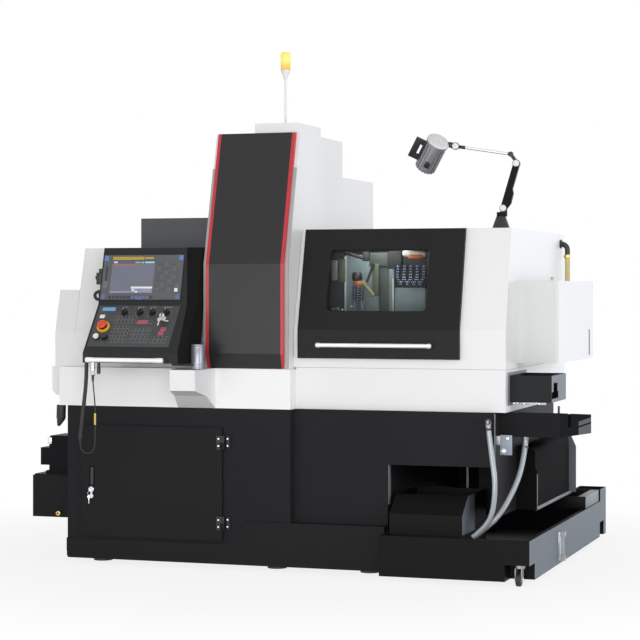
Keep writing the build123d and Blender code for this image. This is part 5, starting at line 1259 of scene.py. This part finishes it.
pipes.turned(
    (1580, 316, 1440), (1.0, 0.0, 0.0),
    ((0.0, 0.0), (9.0, 0.0), (11.0, 4.0), (11.0, 66.0), (8.0, 70.0), (0.0, 70.0)), nozzle_orange,
)
pipes.piece("coolant_pipes", "machine")

# %% [markdown]
# ## Small hardware low down
# Screws on the hinges, a valve by the corner of the base, latches under the parts catcher, a
# brass plug on the lubricant tank and a brass clip on the air hose: each is small, but together
# they tell the size of the machine. The screws of the door leave with it, so they are a piece
# of their own; what stays put is gathered in one mesh.

# %% Hinge screws
screw_head = ((0.0, 0.0), (4.6, 0.0), (4.8, 1.0), (3.8, 2.4), (0.0, 2.8))
door_screws = Shape()
base_screws = Shape()
hinge_heights, screw_offsets = (214.0, 586.0), (-16.0, 16.0)
door_leaf, base_leaf = (772.0, -24.9), (810.0, -6.9)
to_front = (0.0, -1.0, 0.0)
for height in hinge_heights:
    for offset in screw_offsets:
        door_screws.turned((*door_leaf, height + offset), to_front, screw_head, bar_steel, 16)
        base_screws.turned((*base_leaf, height + offset), to_front, screw_head, bar_steel, 16)
    base_screws.block((802.5, -7.0, height - 28.0), (818.5, -4.8, height + 28.0), panel_coat, 0.6)
door_screws.piece("hinge_screws_door", "cabinet_door")
base_screws.piece("hinge_screws_base", "machine")

# %% Valve plate by the corner of the base
# This matt black is painted shade: thin plates that stand for the dark of a slot, the catcher's keyhole and
# a deep gap in the bay.
painted_hole_shade = moulded("painted_hole_shade", (0.004, 0.004, 0.005), 0.85, Specular_IOR_Level=0.0)
plate_blue = moulded("plate_blue", (0.25, 0.29, 0.345), 0.4)
seam_grey = moulded("seam_grey", (0.34, 0.34, 0.345), 0.6)
slot_grey = moulded("slot_grey", (0.12, 0.12, 0.125), 0.6)
# This grey is painted light: it stands for black sheet faces and edges that catch the key light.
painted_lit_grey = moulded("painted_lit_grey", (0.20, 0.215, 0.235), 0.5)
fixtures = Shape()
fixtures.block((2074, 60, 556), (2128, 66, 645), plate_blue, 1.5)
fixtures.block((2050.5, 62, 600), (2076, 66, 640), dull_zinc, 1.0)
fixtures.turned(
    (2091, 60, 574), (0.0, -1.0, 0.0),
    ((0.0, 0.0), (10.0, 0.0), (14.0, 6.0), (14.0, 12.0), (8.0, 17.0), (0.0, 18.0)), zinc_plate,
)
fixtures.rod((2110, 60, 630), (2110, 50, 630), 7.0, zinc_plate, edge=1.0)
print("valve plate in place")

# %% Guard strip, back plate of the catcher, slot, seams and catch
# The grey strip and plate here are painted light; the black slot is painted shade.
fixtures.block((2050.2, 50.2, 512), (2054.0, 58.0, 738), painted_lit_grey, 0.8)
fixtures.block((2095.0, 116.0, 770), (2097.6, 500.0, 918), painted_lit_grey, 0.6)
fixtures.block((2286.0, 1050.4, 972.6), (2288.2, 1057.6, 1091.4), painted_hole_shade)
fixtures.block((2288.0, 1034.0, 970), (2288.5, 1062.0, 1094), slot_grey)
fixtures.block((1114.0, 77.5, 931.1), (2095.2, 79.0, 932.9), seam_grey)
fixtures.block((2094.0, 78.0, 931.2), (2095.3, 1399.0, 932.8), seam_grey)
fixtures.block((2095.0, 1075.0, 1337), (2103.0, 1101.0, 1349), dull_zinc, 1.0)
print("edges of the right end in place")

# %% Latches and pin, plug, clip and boot
for low, high in ((2108, 2140), (2154, 2206), (2222, 2262)):
    fixtures.block((low, 151.0, 775), (high, 158.0, 785.8), dull_zinc, 1.0)
    fixtures.rod((low + 8, 153.0, 780), (low + 8, 147.0, 780), 3.6, bar_steel, edge=0.6)
fixtures.rod((2318, 157, 738), (2318, 157, 772), 5.0, black_plastic, edge=1.5)
fixtures.turned(
    (-140, 191.0, 206), (0.0, -1.0, 0.0),
    ((5.0, 0.0), (12.0, 0.0), (12.0, 5.0), (9.0, 6.0), (9.0, 12.0), (5.0, 12.0), (5.0, 0.0)), brass, 6,
)
fixtures.block((-221, 236.6, 536), (-199, 241.0, 568), bar_steel, 1.5)
fixtures.turned(
    (2131, 1300, 1444), (0.0, 0.0, 1.0),
    ((13.2, 0.0), (15.6, 0.0), (16.4, 2.0), (16.4, 16.0), (15.6, 18.0), (13.2, 18.0), (13.2, 0.0)), brass,
)
fixtures.block((2112, 1280, 1449), (2116, 1290, 1457), brass, 1.0)
fixtures.rod((-44, 24, 741.5), (-46, 24, 676), 22.0, black_rubber, sides=28, edge=3.0)
fixtures.rod((-46, 24, 679), (-59, 24, 642), 21.5, black_rubber, end_radius=7.0, sides=28)
print("fittings at both ends in place")

# %% Keyhole of the catcher and strips of the bay
# The black keyhole and the dark gap in the bay are painted shade; the grey strips are painted light.
fixtures.block((2138.2, 501.0, 266), (2146.0, 1343.0, 281), painted_lit_grey, 1.0)
fixtures.block((2288.0, 190.0, 829), (2288.6, 272.0, 871), painted_hole_shade)
fixtures.block((2288.0, 153.0, 802), (2288.8, 290.0, 832), painted_hole_shade)
fixtures.block((2147.6, 493.2, 272), (2150.4, 500.0, 434), painted_lit_grey, 0.5)
fixtures.block((1815.0, 488.0, 271), (1872.0, 493.8, 470), painted_hole_shade, 0.8)
fixtures.block((1815.0, 484.0, 337), (1825.0, 488.2, 470), painted_lit_grey, 0.8)
fixtures.block((1560.2, 56.0, 320), (1562.6, 92.0, 502), painted_lit_grey, 0.5)
fixtures.piece("small_fixtures", "machine")

# %% [markdown]
# ## Cabinet lock
# A steel ring frames the lock of the cabinet, and a spare key hangs from it. Lock and key turn
# together, so the piece rides on the lock.

# %% Cabinet lock with its spare key
lock_ring = Shape()
lock_ring.turned(
    (133, -16.8, 351), (0.0, -1.0, 0.0),
    ((7.0, 0.0), (13.0, 0.0), (13.6, 2.0), (13.0, 8.6), (11.4, 9.6), (7.0, 8.0), (7.0, 0.0)), bar_steel, 24,
)
lock_ring.ring((125, -26.0, 333), (0.3, -1.0, 0.1), 8.5, 1.2, bar_steel)
spare_bow = ((0.0, -1.0), (7.5, -1.0), (7.9, 0.0), (7.5, 1.0), (0.0, 1.0))
lock_ring.turned((122, -27.0, 316), (0.1, -1.0, 0.0), spare_bow, bar_steel)
lock_ring.block((119.8, -28.2, 284), (124.4, -26.2, 311), bar_steel, 0.4)
lock_ring.piece("lock_and_spare_key", "lock_key")

# %% [markdown]
# ## Door handle ends
# The bar of the lift-up door ends in two rounded caps. One profile, turned to the right and to
# the left, makes both, and they go up with the door.

# %% Door handle ends
bar_end = ((10.1, 0.0), (11.6, 1.6), (11.8, 14.0), (10.4, 19.0), (6.0, 22.0), (0.0, 22.6))
bar_depth, bar_height = 25.7, 1036
handle_ends = Shape()
handle_ends.turned((1747.6, bar_depth, bar_height), (1.0, 0.0, 0.0), bar_end, satin_steel)
handle_ends.turned((1246.4, bar_depth, bar_height), (-1.0, 0.0, 0.0), bar_end, satin_steel)
handle_ends.piece("door_handle_ends", "front_door")

# %% [markdown]
# ## On the tank
# A trough of thin sheets stands on the back of the tank, a sight tube shows its level, and a cap
# closes the front castor. They roll out with the tank; the cap swivels with its fork.

# %% Filter trough on the tank
trough = Shape()
trough.block((2080, 1206, 202), (2240, 1212, 262), tank_finish, 0.8)
# The trough's grey right side and top strip are painted light.
trough.block((2234, 1210, 202), (2240, 1573, 262), painted_lit_grey, 0.8)
trough.block((2080, 1210, 202), (2086, 1566, 250), tank_finish, 0.8)
trough.block((1960, 1562, 202), (2240, 1568, 264), tank_finish, 0.8)
trough.block((2200, 1212, 258), (2236, 1562, 262), painted_lit_grey, 0.8)
trough.piece("filter_trough", "tank")

# %% Gauge tube and castor cap
nut_profile = ((0.0, 0.0), (6.0, 0.0), (6.0, 2.0), (4.0, 3.4), (0.0, 3.4))
cap_profile = ((0.0, 0.0), (9.0, 0.0), (9.4, 2.0), (6.0, 5.0), (0.0, 5.6))
gauge = Shape()
gauge.block((2246.1, 508.0, 38), (2248.4, 562.0, 168), bar_steel, 0.8)
gauge.rod((2259, 535, 61), (2259, 535, 145), 8.6, hose_vinyl, sides=24)
for height in (48.0, 158.0):
    gauge.turned((2271.0, 535, height), (1.0, 0.0, 0.0), nut_profile, zinc_plate, 6)
gauge.piece("gauge_tube", "tank")
cap = Shape()
cap.turned((2206.6, -81, 30), (1.0, 0.0, 0.0), cap_profile, bar_steel)
cap.piece("castor_cap", "castor_fork_1")

# %% [markdown]
# ## Floor
# The machine stands on a pale floor that turns into plain white away from it and keeps the
# shadow near it. The white is shown only to rays that come from the camera, through glass or
# off a shiny face; all other light meets the pale floor itself.

# %% Floor
shown_to = ("Is Camera Ray", "Is Transmission Ray", "Is Glossy Ray")
floor_size = 60.0
fade_start, fade_end, white_near, white_far = 1.4, 3.0, 0.84, 1.0
floor_mesh = bpy.data.meshes.new("studio_floor")
floor_bm = bmesh.new()
bmesh.ops.create_grid(floor_bm, x_segments=1, y_segments=1, size=floor_size / 2)
floor_bm.to_mesh(floor_mesh)
floor_bm.free()
studio_floor = bpy.data.objects.new("studio_floor", floor_mesh)
bpy.context.scene.collection.objects.link(studio_floor)

floor_finish = Finish("studio_white", Roughness=0.9)
floor_finish.surface(Base_Color=(0.86, 0.86, 0.865, 1.0))
distance = floor_finish.add(
    "ShaderNodeVectorMath", {0: floor_finish.place}, output="Value", operation="LENGTH"
)
far_away = floor_finish.add(
    "ShaderNodeMapRange",
    {0: distance, 1: fade_start, 2: fade_end, 3: white_near, 4: white_far},
    interpolation_type="SMOOTHSTEP",
)
paths = floor_finish.tree.nodes.new("ShaderNodeLightPath")
camera_ray, glass_ray, mirror_ray = (Value(floor_finish, paths.outputs[ray]) for ray in shown_to)
seen = camera_ray + glass_ray + mirror_ray
plain_white = floor_finish.add("ShaderNodeEmission", {"Color": (1.0, 1.0, 1.0, 1.0), "Strength": 1.0})
floor_mix = floor_finish.add(
    "ShaderNodeMixShader",
    {0: far_away * seen, 1: Value(floor_finish, floor_finish.shader.outputs[0]), 2: plain_white},
)
floor_out = floor_finish.tree.nodes["Material Output"]
floor_finish.feed(floor_out.inputs["Surface"], floor_mix)
floor_mesh.materials.append(floor_finish.material)
print("floor", floor_size, "m wide")

# %% [markdown]
# ## White world
# The background is plain white to the same three kinds of ray. Everything else gets a dimmer
# world, or the white panels would lose their shape in so much light.

# %% World
world = bpy.data.worlds.new("studio_world")
bpy.context.scene.world = world
world.use_nodes = True
world_tree = world.node_tree
background = world_tree.nodes["Background"]
background.inputs["Color"].default_value = (1.0, 1.0, 1.0, 1.0)
world_paths = world_tree.nodes.new("ShaderNodeLightPath")
shown = world_paths.outputs[shown_to[0]]
for ray in shown_to[1:]:
    either = world_tree.nodes.new("ShaderNodeMath")
    either.operation = "MAXIMUM"
    world_tree.links.new(shown, either.inputs[0])
    world_tree.links.new(world_paths.outputs[ray], either.inputs[1])
    shown = either.outputs[0]
world_level = world_tree.nodes.new("ShaderNodeMapRange")
ambient_level = 0.45
world_level.inputs[3].default_value = ambient_level
world_level.inputs[4].default_value = 1.0
world_tree.links.new(shown, world_level.inputs[0])
world_tree.links.new(world_level.outputs[0], background.inputs["Strength"])
print("ambient level", ambient_level)

# %% [markdown]
# ## Lamps
# Large soft boxes give the even light of a catalogue picture. One stands to the right, two in
# front and a bluish one behind; a very weak one lights the room behind the window.


# %% Lamps
def soft_box(name, place, aim, size, watts):
    """A square soft light that looks at a point."""
    light = bpy.data.lights.new(name, "AREA")
    light.size = size
    light.energy = watts
    lamp = bpy.data.objects.new(name, light)
    lamp.visible_camera = False
    lamp.location = place
    lamp.rotation_euler = (Vector(aim) - Vector(place)).to_track_quat("-Z", "Y").to_euler()
    bpy.context.scene.collection.objects.link(lamp)
    return lamp


soft_box("key_right", place=(7.5, -3.0, 2.4), aim=(0.6, 0.0, 1.0), size=4.0, watts=136.0)
soft_box("fill_front", place=(2.6, -9.5, 1.5), aim=(0.0, 0.0, 1.1), size=5.0, watts=415.0)
rim = soft_box("rim_back", place=(3.6, 4.8, 1.6), aim=(0.9, 0.0, 0.8), size=4.0, watts=75.0)
rim.data.color = (0.84, 0.92, 1.0)
soft_box("fill_low", place=(-2.6, -8.0, 0.5), aim=(-0.6, 0.0, 0.8), size=3.0, watts=82.0)
soft_box("chamber_lamp", place=at(1430, 300, 1500), aim=at(1430, 400, 1250), size=0.25, watts=1.0)
bpy.context.scene.view_settings.view_transform = "Standard"
